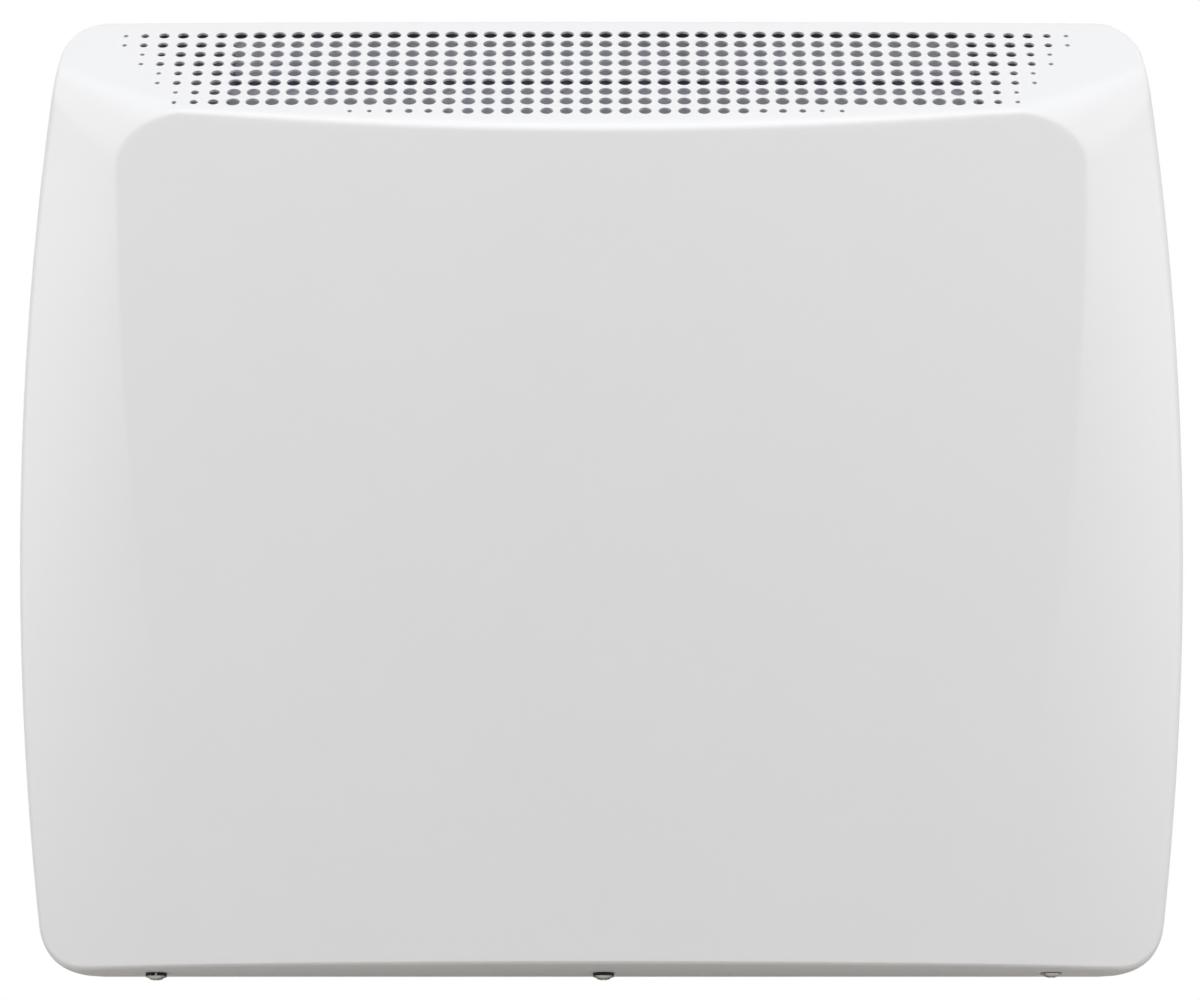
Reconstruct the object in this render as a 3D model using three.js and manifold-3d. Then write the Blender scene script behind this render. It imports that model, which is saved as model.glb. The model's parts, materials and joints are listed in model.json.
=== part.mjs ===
// Wall-mounted electric panel heater with a pressed, perforated front cover.
// Millimetres, +Z up, front towards -Y. The origin is the centre of the wall bracket's back face.
// "depth" is the distance in front of the wall, so y = -depth.
import * as THREE from 'three';
import { mergeVertices } from 'three/addons/utils/BufferGeometryUtils.js';
import Module from 'manifold-3d';

const wasm = await Module();
wasm.setup();

// Driving dimensions of the case
const TOP_Z = 215;
const BOTTOM_Z = -212.8;
const WIDEST_HALF = 259.3;
const WIDEST_Z = -24;
const SIDE_ARC_R = 1540;
const FACE_DEPTH = 102.9;
const FACE_BOW = 3.58e-4;
const TOP_RIM_DEPTH = 22;
const TOP_SLOPE = 1.483;
const SIDE_RIM_DEPTH = 45;
const SIDE_RIM_CHAMFER = { x: 1.2, depth: 2.1 };
const RIM_SINK = 0.3;
const CREASE_CORNER_R = 26;
const UNDER_FRONT_Z = -200;
const UNDER_BACK_DEPTH = 40;
const UNDER_EDGE_R = 7;
const CREASE_HALF = 212.5;
const CREASE_CURVE = 3.2e-4;
const CREASE_STRAIGHT_Z = 150;
const BAND_FLAT_Z = 130;
const BAND_ROUND_SPAN = 190;
const TOP_CORNER = { r: 22, tilt: 8 };
const BOTTOM_CORNER = { r: 25, tilt: 6.2 };
const SHEET = 1.2;
const COVER_BACK_DEPTH = 4;
const FIT = 0.3;

// Driving dimensions of the grille
const GRILLE_PITCH = 8.6;
const GRILLE_ROW_STEP_Z = 4.8125;
const GRILLE_FIRST_Z = 208.35;
const GRILLE_CENTRE_X = -2.45;
const GRILLE_COLUMNS = 50;
const GRILLE_ROW_STARTS = [0, 0, 1, 1, 2, 2, 3, 3, 12];
const GRILLE_FULL_FROM_COLUMN = 6;
const HOLE_FULL = 6.1;
const HOLE_EDGE_SIZES = [2.2, 3.6, 4.7, 5.1];
const HOLE_LAST_ROW_SIZES = [2.2, 2.2, 3.1, 3.5, 3.5, 4.8, 5.2];

// Driving dimensions of what is inside
const PAN_INSET = SHEET + 0.5;
const PAN_BACK_DEPTH = 10;
const PAN_FRONT_DEPTH = PAN_BACK_DEPTH + SHEET;
const END_WALL_X = 165;
const SHIELD_DEPTH = 64;
const SHIELD_TOP_Z = 182;
const ELEMENT_Z = -120;
const ELEMENT_DEPTH = 37;
const SCREW_XS = [-197.6, 0.9, 199.6];
const SCREW_STAND_OFFS = [1.6, 1.5, 0.3];
const SCREW_DEPTH = 56;
const CONTROL_Z = [-66, 18];
const CONTROL_DEPTH = [8, 41.3];
const KNOB_Z = -2;
const ROCKER_Z = -44;
const CONTROL_MID_DEPTH = 24.65;
const HOOK_X = 60;
const FOOT = { x: 226, z: -165 };
const GROMMET = { x: 208, z: -182, holeR: 8 };
const EARTH = { x: 240, z: -120, holeR: 2.4 };

const UNDER_SLOPE = (UNDER_FRONT_Z - BOTTOM_Z) / (FACE_DEPTH - UNDER_BACK_DEPTH);
const UNDER_TILT = Math.atan(UNDER_SLOPE);
const TOP_SLOPE_STRETCH = Math.hypot(1, TOP_SLOPE);
const UNDER_STRETCH = Math.hypot(1, UNDER_SLOPE);
const DEG = Math.PI / 180;

// Materials
function finish(color, roughness, metalness) {
  return new THREE.MeshStandardMaterial({ color, roughness, metalness });
}
const WHITE_ENAMEL = finish(0xf0f0ee, 0.42, 0);
const GALVANISED = finish(0xb4b8bc, 0.45, 0.85);
const ZINC = finish(0xa9a9a4, 0.32, 0.9);
const ALUMINIUM = finish(0x9a9da0, 0.5, 0.9);
const CERAMIC = finish(0xe6e0d2, 0.55, 0);
const BRASS = finish(0xb5964c, 0.35, 0.9);
const WHITE_PLASTIC = finish(0xe9e9e6, 0.45, 0);
const DARK_PLASTIC = finish(0x2a2b2d, 0.5, 0);
const BLACK_RUBBER = finish(0x1c1c1c, 0.8, 0);
const LEAD_BROWN = finish(0x6a4328, 0.6, 0);
const LEAD_BLUE = finish(0x2d5f9e, 0.6, 0);
const LEAD_GREEN = finish(0x6f9a2c, 0.6, 0);

// Solids
function solidOf(geometry) {
  const bare = geometry.index ? geometry.toNonIndexed() : geometry.clone();
  for (const name of ['normal', 'uv', 'color']) bare.deleteAttribute(name);
  const merged = mergeVertices(bare, 1e-4);
  const vertProperties = new Float32Array(merged.attributes.position.array);
  const triVerts = new Uint32Array(merged.index.array);
  return new wasm.Manifold(new wasm.Mesh({ numProp: 3, vertProperties, triVerts }));
}

function geometryOf(solid) {
  const { vertProperties, triVerts } = solid.getMesh();
  const geometry = new THREE.BufferGeometry();
  geometry.setAttribute('position', new THREE.BufferAttribute(vertProperties, 3));
  geometry.setIndex(new THREE.BufferAttribute(triVerts, 1));
  geometry.computeVertexNormals();
  return geometry;
}

function unite(...solids) {
  return solids.reduce((sum, solid) => sum.add(solid));
}

function cut(body, ...tools) {
  return tools.reduce((rest, tool) => rest.subtract(tool), body);
}

function box([x0, x1], [d0, d1], [z0, z1]) {
  const geometry = new THREE.BoxGeometry(x1 - x0, d1 - d0, z1 - z0);
  geometry.translate((x0 + x1) / 2, -(d0 + d1) / 2, (z0 + z1) / 2);
  return solidOf(geometry);
}

function shapeOf(points) {
  return new THREE.Shape(points.map(([a, b]) => new THREE.Vector2(a, b)));
}

function extruded(shape, length) {
  return new THREE.ExtrudeGeometry(shape, { depth: length, bevelEnabled: false, curveSegments: 6 });
}

// A (depth, z) outline swept along x
function sweptAlongX(points, [x0, x1]) {
  const geometry = extruded(shapeOf(points.map(([depth, z]) => [-depth, z])), x1 - x0);
  const turn = new THREE.Matrix4().makeBasis(
    new THREE.Vector3(0, 1, 0), new THREE.Vector3(0, 0, 1), new THREE.Vector3(1, 0, 0));
  geometry.applyMatrix4(turn).translate(x0, 0, 0);
  return solidOf(geometry);
}

// An (x, z) outline swept in depth
function sweptInDepth(points, [d0, d1]) {
  const geometry = extruded(shapeOf(points), d1 - d0);
  geometry.rotateX(Math.PI / 2).translate(0, -d0, 0);
  return solidOf(geometry);
}

// An (x, depth) outline swept along z
function sweptUp(points, [z0, z1]) {
  const geometry = extruded(shapeOf(points.map(([x, depth]) => [x, -depth])), z1 - z0);
  geometry.translate(0, 0, z0);
  return solidOf(geometry);
}

function ngon(cx, cy, radius, sides, turn = 0) {
  return Array.from({ length: sides }, (_, k) => {
    const angle = turn + (2 * Math.PI * k) / sides;
    return [cx + radius * Math.cos(angle), cy + radius * Math.sin(angle)];
  });
}

function between(a, b) {
  return a < b ? [a, b] : [b, a];
}

function turnedPoints(points, angle, [a0, b0]) {
  const [cos, sin] = [Math.cos(angle), Math.sin(angle)];
  return points.map(([a, b]) => [a0 + a * cos - b * sin, b0 + a * sin + b * cos]);
}

function slotOutline(cx, cz, halfLength, halfWidth) {
  const ends = [[1, -60], [1, 0], [1, 60], [-1, 120], [-1, 180], [-1, 240]];
  return ends.map(([side, angle]) => [
    cx + side * (halfLength - halfWidth) + halfWidth * Math.cos(angle * DEG),
    cz + halfWidth * Math.sin(angle * DEG)]);
}

// A (radius, height) profile turned about Z, then laid along a direction at a place
function turned(profile, sides, direction, [x, depth, z]) {
  const geometry = new THREE.LatheGeometry(profile.map(([r, h]) => new THREE.Vector2(r, h)), sides);
  const aim = new THREE.Quaternion().setFromUnitVectors(
    new THREE.Vector3(0, 1, 0), new THREE.Vector3(...direction).normalize());
  geometry.applyQuaternion(aim).translate(x, -depth, z);
  return solidOf(geometry);
}

// Case surfaces
function sideHalf(z) {
  return WIDEST_HALF - (z - WIDEST_Z) ** 2 / (2 * SIDE_ARC_R);
}

function creaseHalf(z) {
  return CREASE_HALF - CREASE_CURVE * Math.max(0, CREASE_STRAIGHT_Z - z) ** 2;
}

function faceDepth(x) {
  return FACE_DEPTH - FACE_BOW * x * x;
}

function bandDepth(x, z) {
  const outer = sideHalf(z);
  const inner = creaseHalf(z);
  const width = outer - inner;
  const rise = faceDepth(inner) - SIDE_RIM_DEPTH;
  const tangent = 2 - (2 * FACE_BOW * inner * width) / rise;
  const roundness = Math.min(1, Math.max(0, (BAND_FLAT_Z - z) / BAND_ROUND_SPAN));
  const start = 1 + roundness * (tangent - 1);
  const u = (outer - x) / width;
  return SIDE_RIM_DEPTH + rise * (start * u + (1 - start) * u * u);
}

function underZ(depth) {
  return UNDER_FRONT_Z - UNDER_SLOPE * (FACE_DEPTH - depth);
}

function topZ(depth) {
  return TOP_Z - (depth - TOP_RIM_DEPTH) / TOP_SLOPE;
}

// Centre of the arc that rounds a corner of the outline, tangent to the side and to the end line
function cornerCentre(endZ, { r, tilt }) {
  const up = Math.sign(endZ);
  const z = endZ - up * r;
  const touchZ = z + up * r * Math.sin(tilt * DEG);
  return { x: sideHalf(touchZ) - r * Math.cos(tilt * DEG), z, touchZ };
}
const TOP_ARC = { ...TOP_CORNER, ...cornerCentre(TOP_Z, TOP_CORNER) };
const BOTTOM_ARC = { ...BOTTOM_CORNER, ...cornerCentre(BOTTOM_Z, BOTTOM_CORNER) };

function outlineHalf(z, inset) {
  for (const arc of [TOP_ARC, BOTTOM_ARC]) {
    if (Math.abs(z) > Math.abs(arc.touchZ) && z * arc.z > 0) {
      const rest = (arc.r - inset) ** 2 - (z - arc.z) ** 2;
      return arc.x + Math.sqrt(Math.max(0, rest));
    }
  }
  return sideHalf(z) - inset;
}

// The face or the side band, whichever lies deeper at a place in the front view
function frontDepth(x, z) {
  return x <= creaseHalf(z) ? faceDepth(x) : bandDepth(x, z);
}

// The upper corners: contours of the top slope and the side band meet in an arc whose radius grows
// from nothing at the side rim to CREASE_CORNER_R at the face, which makes a conical corner.
// Returns the depth there, or null outside the cone.
function cornerDepth(x, z) {
  const inner = creaseHalf(z);
  const crease = faceDepth(inner);
  const bandSlope = (crease - SIDE_RIM_DEPTH) / (sideHalf(z) - inner);
  const topDepth = TOP_RIM_DEPTH + (TOP_Z - z) * TOP_SLOPE;
  const sideDepth = SIDE_RIM_DEPTH + (sideHalf(z) - x) * bandSlope;
  const measure = (depth) => {
    const r = (CREASE_CORNER_R * Math.max(0, depth - SIDE_RIM_DEPTH)) / (crease - SIDE_RIM_DEPTH);
    return { r, a: r - (topDepth - depth) / TOP_SLOPE, b: r - (sideDepth - depth) / bandSlope };
  };
  let [low, high] = [SIDE_RIM_DEPTH - 25, Math.min(topDepth, sideDepth)];
  for (let k = 0; k < 30; k++) {
    const middle = (low + high) / 2;
    const { r, a, b } = measure(middle);
    if (Math.hypot(Math.max(0, a), Math.max(0, b)) <= r) low = middle;
    else high = middle;
  }
  const { a, b } = measure(low);
  return a > 0 && b > 0 ? low : null;
}

// Depth of the case's outer skin. Above the face it stands proud of the top slope, to be trimmed, a
// little at the corners and more between them, where the crease has to be cut cleanly.
const TRIM_ALLOWANCE = { corner: 1, middle: 14, rise: 0.5 };
function skinDepth(x, z) {
  const front = frontDepth(x, z);
  if (z < BAND_FLAT_Z) return front;
  const fromCorner = Math.max(0, CREASE_HALF - CREASE_CORNER_R - x) * TRIM_ALLOWANCE.rise;
  const allowance = Math.min(TRIM_ALLOWANCE.middle, TRIM_ALLOWANCE.corner + fromCorner);
  const top = TOP_RIM_DEPTH + (TOP_Z - z) * TOP_SLOPE + allowance;
  return Math.min(front, top, cornerDepth(x, z) ?? front);
}

// Depth of a surface that lies a distance under the skin, measured square to the skin
const PROBE = 0.5;
function insetDepth(x, z, inset) {
  const slopeX = (skinDepth(x + PROBE, z) - skinDepth(Math.max(0, x - PROBE), z)) / (2 * PROBE);
  const slopeZ = (skinDepth(x, z + PROBE) - skinDepth(x, z - PROBE)) / (2 * PROBE);
  return skinDepth(x, z) - inset * Math.hypot(1, slopeX, slopeZ);
}

// Right half of the case's plan section at one height, as (x, depth) from the middle to the back
const FACE_SHARES = [0, 0.25, 0.5, 0.72];
const BEFORE_CREASE = [26, 17, 8, 0];
const BAND_STEPS = 4;
const RIM_R = 8;
const LEAST_BAND = 8;
const MIN_REACH = 0.5;
function halfSection(z, inset, backDepth) {
  const crease = creaseHalf(z);
  const wallX = outlineHalf(z, inset);
  const rimDepth = bandDepth(Math.max(outlineHalf(z, 0), crease + LEAST_BAND), z);
  const rimShare = (RIM_R - inset) / RIM_R;
  const bandEnd = wallX - SIDE_RIM_CHAMFER.x * rimShare;
  const xs = [...FACE_SHARES.map((share) => share * crease), ...BEFORE_CREASE.map((d) => crease - d)];
  for (let k = 1; k <= BAND_STEPS; k++) xs.push(crease + ((bandEnd - crease) * k) / BAND_STEPS);
  const depths = xs.map((x) => insetDepth(x, z, inset));
  xs.push(wallX);
  depths.push(rimDepth - inset * RIM_SINK - SIDE_RIM_CHAMFER.depth * rimShare);
  const line = xs.map((x, k) => [x, Math.max(backDepth + MIN_REACH, roundUnder(depths[k], z, inset))]);
  return [...line, [wallX, backDepth]];
}

// Rolls the lower front edge back towards the underside
function roundUnder(depth, z, inset) {
  const r = UNDER_EDGE_R - inset;
  const above = z - underZ(depth) - inset * UNDER_STRETCH;
  if (above >= r) return depth;
  const reach = Math.min(r, r - above);
  return depth - (r - Math.sqrt(r * r - reach * reach));
}

const SIDE_STATIONS = [-165, -135, -100, -65, -30, 5, 40, 75, 110];
const CORNER_STATIONS = [138, 147, 155, 162, 169, 176, 183, 189];
const BOTTOM_ARC_STEPS = [90, 68, 48, 34, 24, 15, BOTTOM_CORNER.tilt];
const TOP_ARC_STEPS = [TOP_CORNER.tilt, 27, 48, 69, 90];
const OVERRUN = 4;
function stationHeights(inset) {
  const low = BOTTOM_ARC_STEPS.map((a) => BOTTOM_ARC.z - (BOTTOM_ARC.r - inset) * Math.sin(a * DEG));
  const high = TOP_ARC_STEPS.map((a) => TOP_ARC.z + (TOP_ARC.r - inset) * Math.sin(a * DEG));
  return [low[0] - OVERRUN, ...low, ...SIDE_STATIONS, ...CORNER_STATIONS, ...high, high.at(-1) + OVERRUN];
}

// Skins a row of closed sections, each anticlockwise seen from above, with flat caps
function lofted(sections, heights) {
  const count = sections[0].length;
  const positions = sections.flatMap((ring, i) => ring.flatMap(([x, depth]) => [x, -depth, heights[i]]));
  const index = [];
  for (let i = 0; i + 1 < sections.length; i++) {
    for (let j = 0; j < count; j++) {
      const a = i * count + j;
      const b = i * count + ((j + 1) % count);
      index.push(a, b, b + count, a, b + count, a + count);
    }
  }
  for (const level of [0, sections.length - 1]) {
    const contour = sections[level].map(([x, depth]) => new THREE.Vector2(x, -depth));
    for (const [a, b, c] of THREE.ShapeUtils.triangulateShape(contour, [])) {
      const face = level ? [a, b, c] : [a, c, b];
      index.push(...face.map((k) => k + level * count));
    }
  }
  const geometry = new THREE.BufferGeometry();
  geometry.setAttribute('position', new THREE.Float32BufferAttribute(positions, 3));
  geometry.setIndex(index);
  return solidOf(geometry);
}

// Side profile that trims the lofted case to its sloped top and underside
const RIM_ROUND = [2.5, 1.7];
function sideProfile(inset, backDepth) {
  const front = FACE_DEPTH + 12;
  const topRim = TOP_RIM_DEPTH - inset * (TOP_SLOPE_STRETCH - TOP_SLOPE);
  const drop = (inset * TOP_SLOPE_STRETCH) / TOP_SLOPE;
  const underBack = UNDER_BACK_DEPTH - (inset * (UNDER_STRETCH - 1)) / UNDER_SLOPE;
  return [
    [backDepth - 10, TOP_Z - inset],
    [topRim - RIM_ROUND[0], TOP_Z - inset],
    [topRim + RIM_ROUND[1], TOP_Z - inset - RIM_ROUND[1] / TOP_SLOPE],
    [front, topZ(front) - drop],
    [front, underZ(front) + inset * UNDER_STRETCH],
    [underBack, BOTTOM_Z + inset],
    [backDepth - 10, BOTTOM_Z + inset],
  ];
}

function caseSolid(inset, backDepth) {
  const heights = stationHeights(inset);
  const sections = heights.map((z) => {
    const half = halfSection(z, inset, backDepth);
    const left = half.slice(1).reverse().map(([x, depth]) => [-x, depth]);
    return [...left, ...half];
  });
  const trim = sweptAlongX(sideProfile(inset, backDepth), [-WIDEST_HALF - 5, WIDEST_HALF + 5]);
  return lofted(sections, heights).intersect(trim);
}

// Front cover
function holeSize(row, fromRowEnd, column) {
  const fromSide = Math.min(column, GRILLE_COLUMNS - 1 - column);
  if (row === GRILLE_ROW_STARTS.length - 1) return HOLE_LAST_ROW_SIZES[fromRowEnd] ?? HOLE_FULL - 0.5;
  if (fromSide >= GRILLE_FULL_FROM_COLUMN) return HOLE_FULL;
  return HOLE_EDGE_SIZES[Math.min(fromRowEnd, HOLE_EDGE_SIZES.length - 1)];
}

// Every perforation is a four-sided punch with the area of the round hole, square to the slope
const PUNCH_REACH = 4;
function grillePunches() {
  const punches = [];
  const slopeAngle = Math.atan(1 / TOP_SLOPE);
  GRILLE_ROW_STARTS.forEach((start, row) => {
    const z = GRILLE_FIRST_Z - row * GRILLE_ROW_STEP_Z;
    const depth = TOP_RIM_DEPTH + (TOP_Z - z) * TOP_SLOPE;
    for (let column = start; column < GRILLE_COLUMNS - start; column++) {
      const fromRowEnd = Math.min(column - start, GRILLE_COLUMNS - 1 - start - column);
      const side = (holeSize(row, fromRowEnd, column) * Math.sqrt(Math.PI)) / 2;
      const x = GRILLE_CENTRE_X + (column - (GRILLE_COLUMNS - 1) / 2) * GRILLE_PITCH;
      const punch = new THREE.BoxGeometry(side, side, 2 * PUNCH_REACH);
      punch.rotateX(Math.PI / 2 - slopeAngle).translate(x, -depth, z);
      punches.push(solidOf(punch));
    }
  });
  return wasm.Manifold.union(punches);
}

const DOWN_FROM_UNDERSIDE = [0, -Math.sin(UNDER_TILT), -Math.cos(UNDER_TILT)];
function underHole(x, radius, sides) {
  const place = [x, SCREW_DEPTH, underZ(SCREW_DEPTH)];
  return turned([[0, -8], [radius, -8], [radius, 8], [0, 8]], sides, DOWN_FROM_UNDERSIDE, place);
}

const INTAKE_HALF = 222;
const COVER_TAB = { x: 170, half: 20, bottom: 205, gap: 0.4 };
const SCREW_CLEARANCE_R = 2.9;
function frontCover() {
  const shell = cut(caseSolid(0, COVER_BACK_DEPTH), caseSolid(SHEET, COVER_BACK_DEPTH - 9));
  const intake = box([-INTAKE_HALF, INTAKE_HALF], [0, UNDER_BACK_DEPTH], [BOTTOM_Z - 1, BOTTOM_Z + 6]);
  const controls = box([WIDEST_HALF - 6, WIDEST_HALF + 4], CONTROL_DEPTH, CONTROL_Z);
  const screwHoles = SCREW_XS.map((x) => underHole(x, SCREW_CLEARANCE_R, 10));
  const opened = cut(shell, grillePunches(), intake, controls, ...screwHoles);
  const tabFront = PAN_BACK_DEPTH - COVER_TAB.gap;
  const tabs = [-COVER_TAB.x, COVER_TAB.x].map((x) => {
    const xs = [x - COVER_TAB.half, x + COVER_TAB.half];
    return box(xs, [tabFront - SHEET, tabFront], [COVER_TAB.bottom, TOP_Z - SHEET / 2]);
  });
  return unite(opened, ...tabs);
}

// Cover screws: domed washer head on a plain shank, two standing off the sheet and one driven home
const SCREW = { headR: 4.75, headH: 2.2, shankR: 1.9, length: 11 };
function coverScrew(x, standOff) {
  const { headR, headH, shankR, length } = SCREW;
  const profile = [
    [0, -length], [shankR * 0.55, -length], [shankR, -length + 2], [shankR, standOff],
    [headR, standOff], [headR, standOff + 0.6], [headR * 0.8, standOff + 1.35],
    [headR * 0.45, standOff + headH - 0.2], [0, standOff + headH],
  ];
  return turned(profile, 10, DOWN_FROM_UNDERSIDE, [x, SCREW_DEPTH, underZ(SCREW_DEPTH)]);
}

// Back plate: a pan with a rim all round and a deeper slotted shelf below
const PAN_RIM = { side: 30, top: 20.3, shelf: 66, sideTop: 190, shelfTop: -192 };
const INTAKE_SLOT = { last: 144, pitch: 16, half: 5, depth: [15, 37] };
const PAN_WEB = [PAN_BACK_DEPTH - 2, PAN_FRONT_DEPTH + 1.8];
function backPlate() {
  const skin = cut(caseSolid(PAN_INSET, PAN_BACK_DEPTH), caseSolid(PAN_INSET + SHEET, PAN_FRONT_DEPTH));
  const kept = unite(
    box([-270, 270], [0, PAN_RIM.side], [-220, PAN_RIM.sideTop]),
    box([-270, 270], [0, PAN_RIM.top], [-220, 220]),
    box([-270, 270], [0, PAN_RIM.shelf], [-220, PAN_RIM.shelfTop]));
  const slots = [];
  for (let x = -INTAKE_SLOT.last; x <= INTAKE_SLOT.last; x += INTAKE_SLOT.pitch) {
    const xs = [x - INTAKE_SLOT.half, x + INTAKE_SLOT.half];
    slots.push(box(xs, INTAKE_SLOT.depth, [BOTTOM_Z - 1, BOTTOM_Z + 8]));
  }
  const pilots = SCREW_XS.map((x) => underHole(x, SCREW.shankR + 0.4, 8));
  const hookSlots = [-HOOK_X, HOOK_X].map((x) => box([x - 12, x + 12], PAN_WEB, [106.5, 119.8]));
  const catchSlot = box([-14, 14], PAN_WEB, [-182.5, -171.7]);
  const notch = box([241.5, 262], [8, 32], [CONTROL_Z[0] - 5, CONTROL_Z[1] + 5]);
  const footHoles = [-FOOT.x, FOOT.x].map((x) => sweptInDepth(ngon(x, FOOT.z, 3.5, 8), PAN_WEB));
  const cableHole = sweptInDepth(ngon(GROMMET.x, GROMMET.z, GROMMET.holeR, 12), PAN_WEB);
  const earthHole = sweptInDepth(ngon(EARTH.x, EARTH.z, EARTH.holeR, 8), PAN_WEB);
  const round = [...pilots, ...footHoles, cableHole, earthHole];
  return cut(skin.intersect(kept), ...slots, ...hookSlots, catchSlot, notch, ...round);
}

// An (x, z) rectangle with cut corners, in wall-bracket sheet
function chamfered(half, [z0, z1], c) {
  return [[-half, z0 + c], [-half + c, z0], [half - c, z0], [half, z0 + c],
    [half, z1 - c], [half - c, z1], [-half + c, z1], [-half, z1 - c]];
}

// Wall bracket: one sheet with two windows, folded sides, two hooks and a guide for the catch
const BRACKET = { half: 130, top: 119.5, bottom: -196, sheet: 1.5, corner: 11 };
const WINDOW = { half: 100, zs: [[18, 94], [-150, -18]], corner: 14 };
const WALL_SLOTS = [[-92, 107], [92, 107], [-92, -172], [92, -172]];
const HOOK = { half: 10, rise: 10.5, reach: 3.5 };
const GUIDE = { z: [-196, -188], depth: [3.6, 4.8], half: 20, gapHalf: 12.6 };
const SPRING_TONGUE = { half: 30, z: [-157, -149] };
function wallBracket() {
  const { half, top, bottom, sheet, corner } = BRACKET;
  const through = [-1, sheet + 1.5];
  const plate = sweptInDepth(chamfered(half, [bottom, top], corner), [0, sheet]);
  const windows = WINDOW.zs.map((zs) => sweptInDepth(chamfered(WINDOW.half, zs, WINDOW.corner), through));
  const wallSlots = WALL_SLOTS.map(([x, z]) => sweptInDepth(slotOutline(x, z, 9, 2.8), through));
  const sides = [-1, 1].map((side) => {
    const xs = between(side * half, side * (half - sheet));
    return box(xs, [0.4, PAN_BACK_DEPTH - FIT], [bottom + corner, top - corner]);
  });
  const lipFront = PAN_FRONT_DEPTH + FIT + HOOK.reach;
  const hooks = [-HOOK_X, HOOK_X].flatMap((x) => [
    box([x - HOOK.half, x + HOOK.half], [0.5, lipFront], [top - sheet, top]),
    box([x - HOOK.half, x + HOOK.half], [lipFront - sheet, lipFront], [top - 0.5, top + HOOK.rise])]);
  const strap = box([-GUIDE.half, GUIDE.half], GUIDE.depth, GUIDE.z);
  const feet = [-1, 1].map((side) => {
    return box(between(side * GUIDE.gapHalf, side * GUIDE.half), [0.5, GUIDE.depth[0] + 0.5], GUIDE.z);
  });
  const springLug = box([-4, 4], [0.5, 8.6], [-156, -154.5]);
  const tongue = box([-SPRING_TONGUE.half, SPRING_TONGUE.half], [-2, 4], SPRING_TONGUE.z);
  windows[1] = windows[1].subtract(tongue);
  return cut(unite(plate, ...sides, ...hooks, strap, ...feet, springLug), ...windows, ...wallSlots);
}

// Sliding catch: a J-shaped tongue through the back plate, pulled down by its finger tab
const CATCH = { half: 12, sheet: 1.5, top: -172, bottom: -211.5, tab: 8, lip: 5, ease: 4 };
function bracketCatch() {
  const { half, sheet, top, bottom, tab, lip, ease } = CATCH;
  const back = BRACKET.sheet + FIT;
  const lipFront = PAN_FRONT_DEPTH + 1.5 + sheet;
  const profile = [
    [back, bottom], [back + tab, bottom], [back + tab, bottom + sheet], [back + sheet, bottom + sheet],
    [back + sheet, top - sheet], [lipFront, top - sheet], [lipFront, top + lip],
    [lipFront - sheet, top + lip], [lipFront - sheet, top], [back, top]];
  const strip = sweptAlongX(profile, [-half, half]);
  const shoulders = box([-16, 16], [back, back + sheet], [-181.7, -176]);
  const cuts = [-1, 1].map((side) => {
    const edge = side * (half + 1);
    const outline = [[edge - side * (ease + 1), bottom - 1], [edge, bottom - 1], [edge, bottom + ease]];
    return sweptInDepth(outline, [back - 1, back + tab + 1]);
  });
  return cut(unite(strip, shoulders), ...cuts);
}

// Tension spring of the catch: a helix as one tube
const HELIX = { perTurn: 7, sides: 4 };
function helix(radius, wire, turns, length, [x, depth, z]) {
  const steps = turns * HELIX.perTurn;
  const sides = HELIX.sides;
  const positions = [];
  const index = [];
  for (let i = 0; i <= steps; i++) {
    const angle = (2 * Math.PI * i) / HELIX.perTurn;
    for (let k = 0; k < sides; k++) {
      const around = (2 * Math.PI * k) / sides;
      const r = radius + wire * Math.cos(around);
      positions.push(x + r * Math.cos(angle), -depth + r * Math.sin(angle),
        z + (length * i) / steps + wire * Math.sin(around));
    }
  }
  for (let i = 0; i < steps; i++) {
    for (let k = 0; k < sides; k++) {
      const a = i * sides + k;
      const b = i * sides + ((k + 1) % sides);
      index.push(a, a + sides, b, b, a + sides, b + sides);
    }
  }
  for (let k = 1; k + 1 < sides; k++) {
    index.push(0, k, k + 1);
    index.push(steps * sides, steps * sides + k + 1, steps * sides + k);
  }
  const geometry = new THREE.BufferGeometry();
  geometry.setAttribute('position', new THREE.Float32BufferAttribute(positions, 3));
  geometry.setIndex(index);
  return solidOf(geometry);
}

function wallFoot(x) {
  const seat = PAN_BACK_DEPTH - FIT;
  const profile = [[0, 0], [7.2, 0], [8, 0.8], [8, seat], [3, seat], [3, 14], [2, 15], [0, 15]];
  return turned(profile, 12, [0, -1, 0], [x, 0, FOOT.z]);
}

// Sheets that make the convection chamber
const THIN_SHEET = 1;
const CHAMBER_BACK = PAN_FRONT_DEPTH + FIT;
const END_WALL = { inset: 7, flange: 13, z: [-186, 196], boreR: 8, wireway: [[19, 29], [-186, -174]] };
function endWall(side) {
  const within = caseSolid(END_WALL.inset, CHAMBER_BACK);
  const at = (from, to) => between(side * (END_WALL_X + from), side * (END_WALL_X + to));
  const web = box(at(0, THIN_SHEET), [0, 120], [-190, 220]).intersect(within);
  const flange = box(at(0, END_WALL.flange), [CHAMBER_BACK, CHAMBER_BACK + THIN_SHEET], END_WALL.z);
  const bore = sweptAlongX(ngon(ELEMENT_DEPTH, ELEMENT_Z, END_WALL.boreR, 12), at(-2, 4));
  const wireway = box(at(-2, 4), ...END_WALL.wireway);
  return cut(unite(web, flange), bore, wireway);
}

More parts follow.
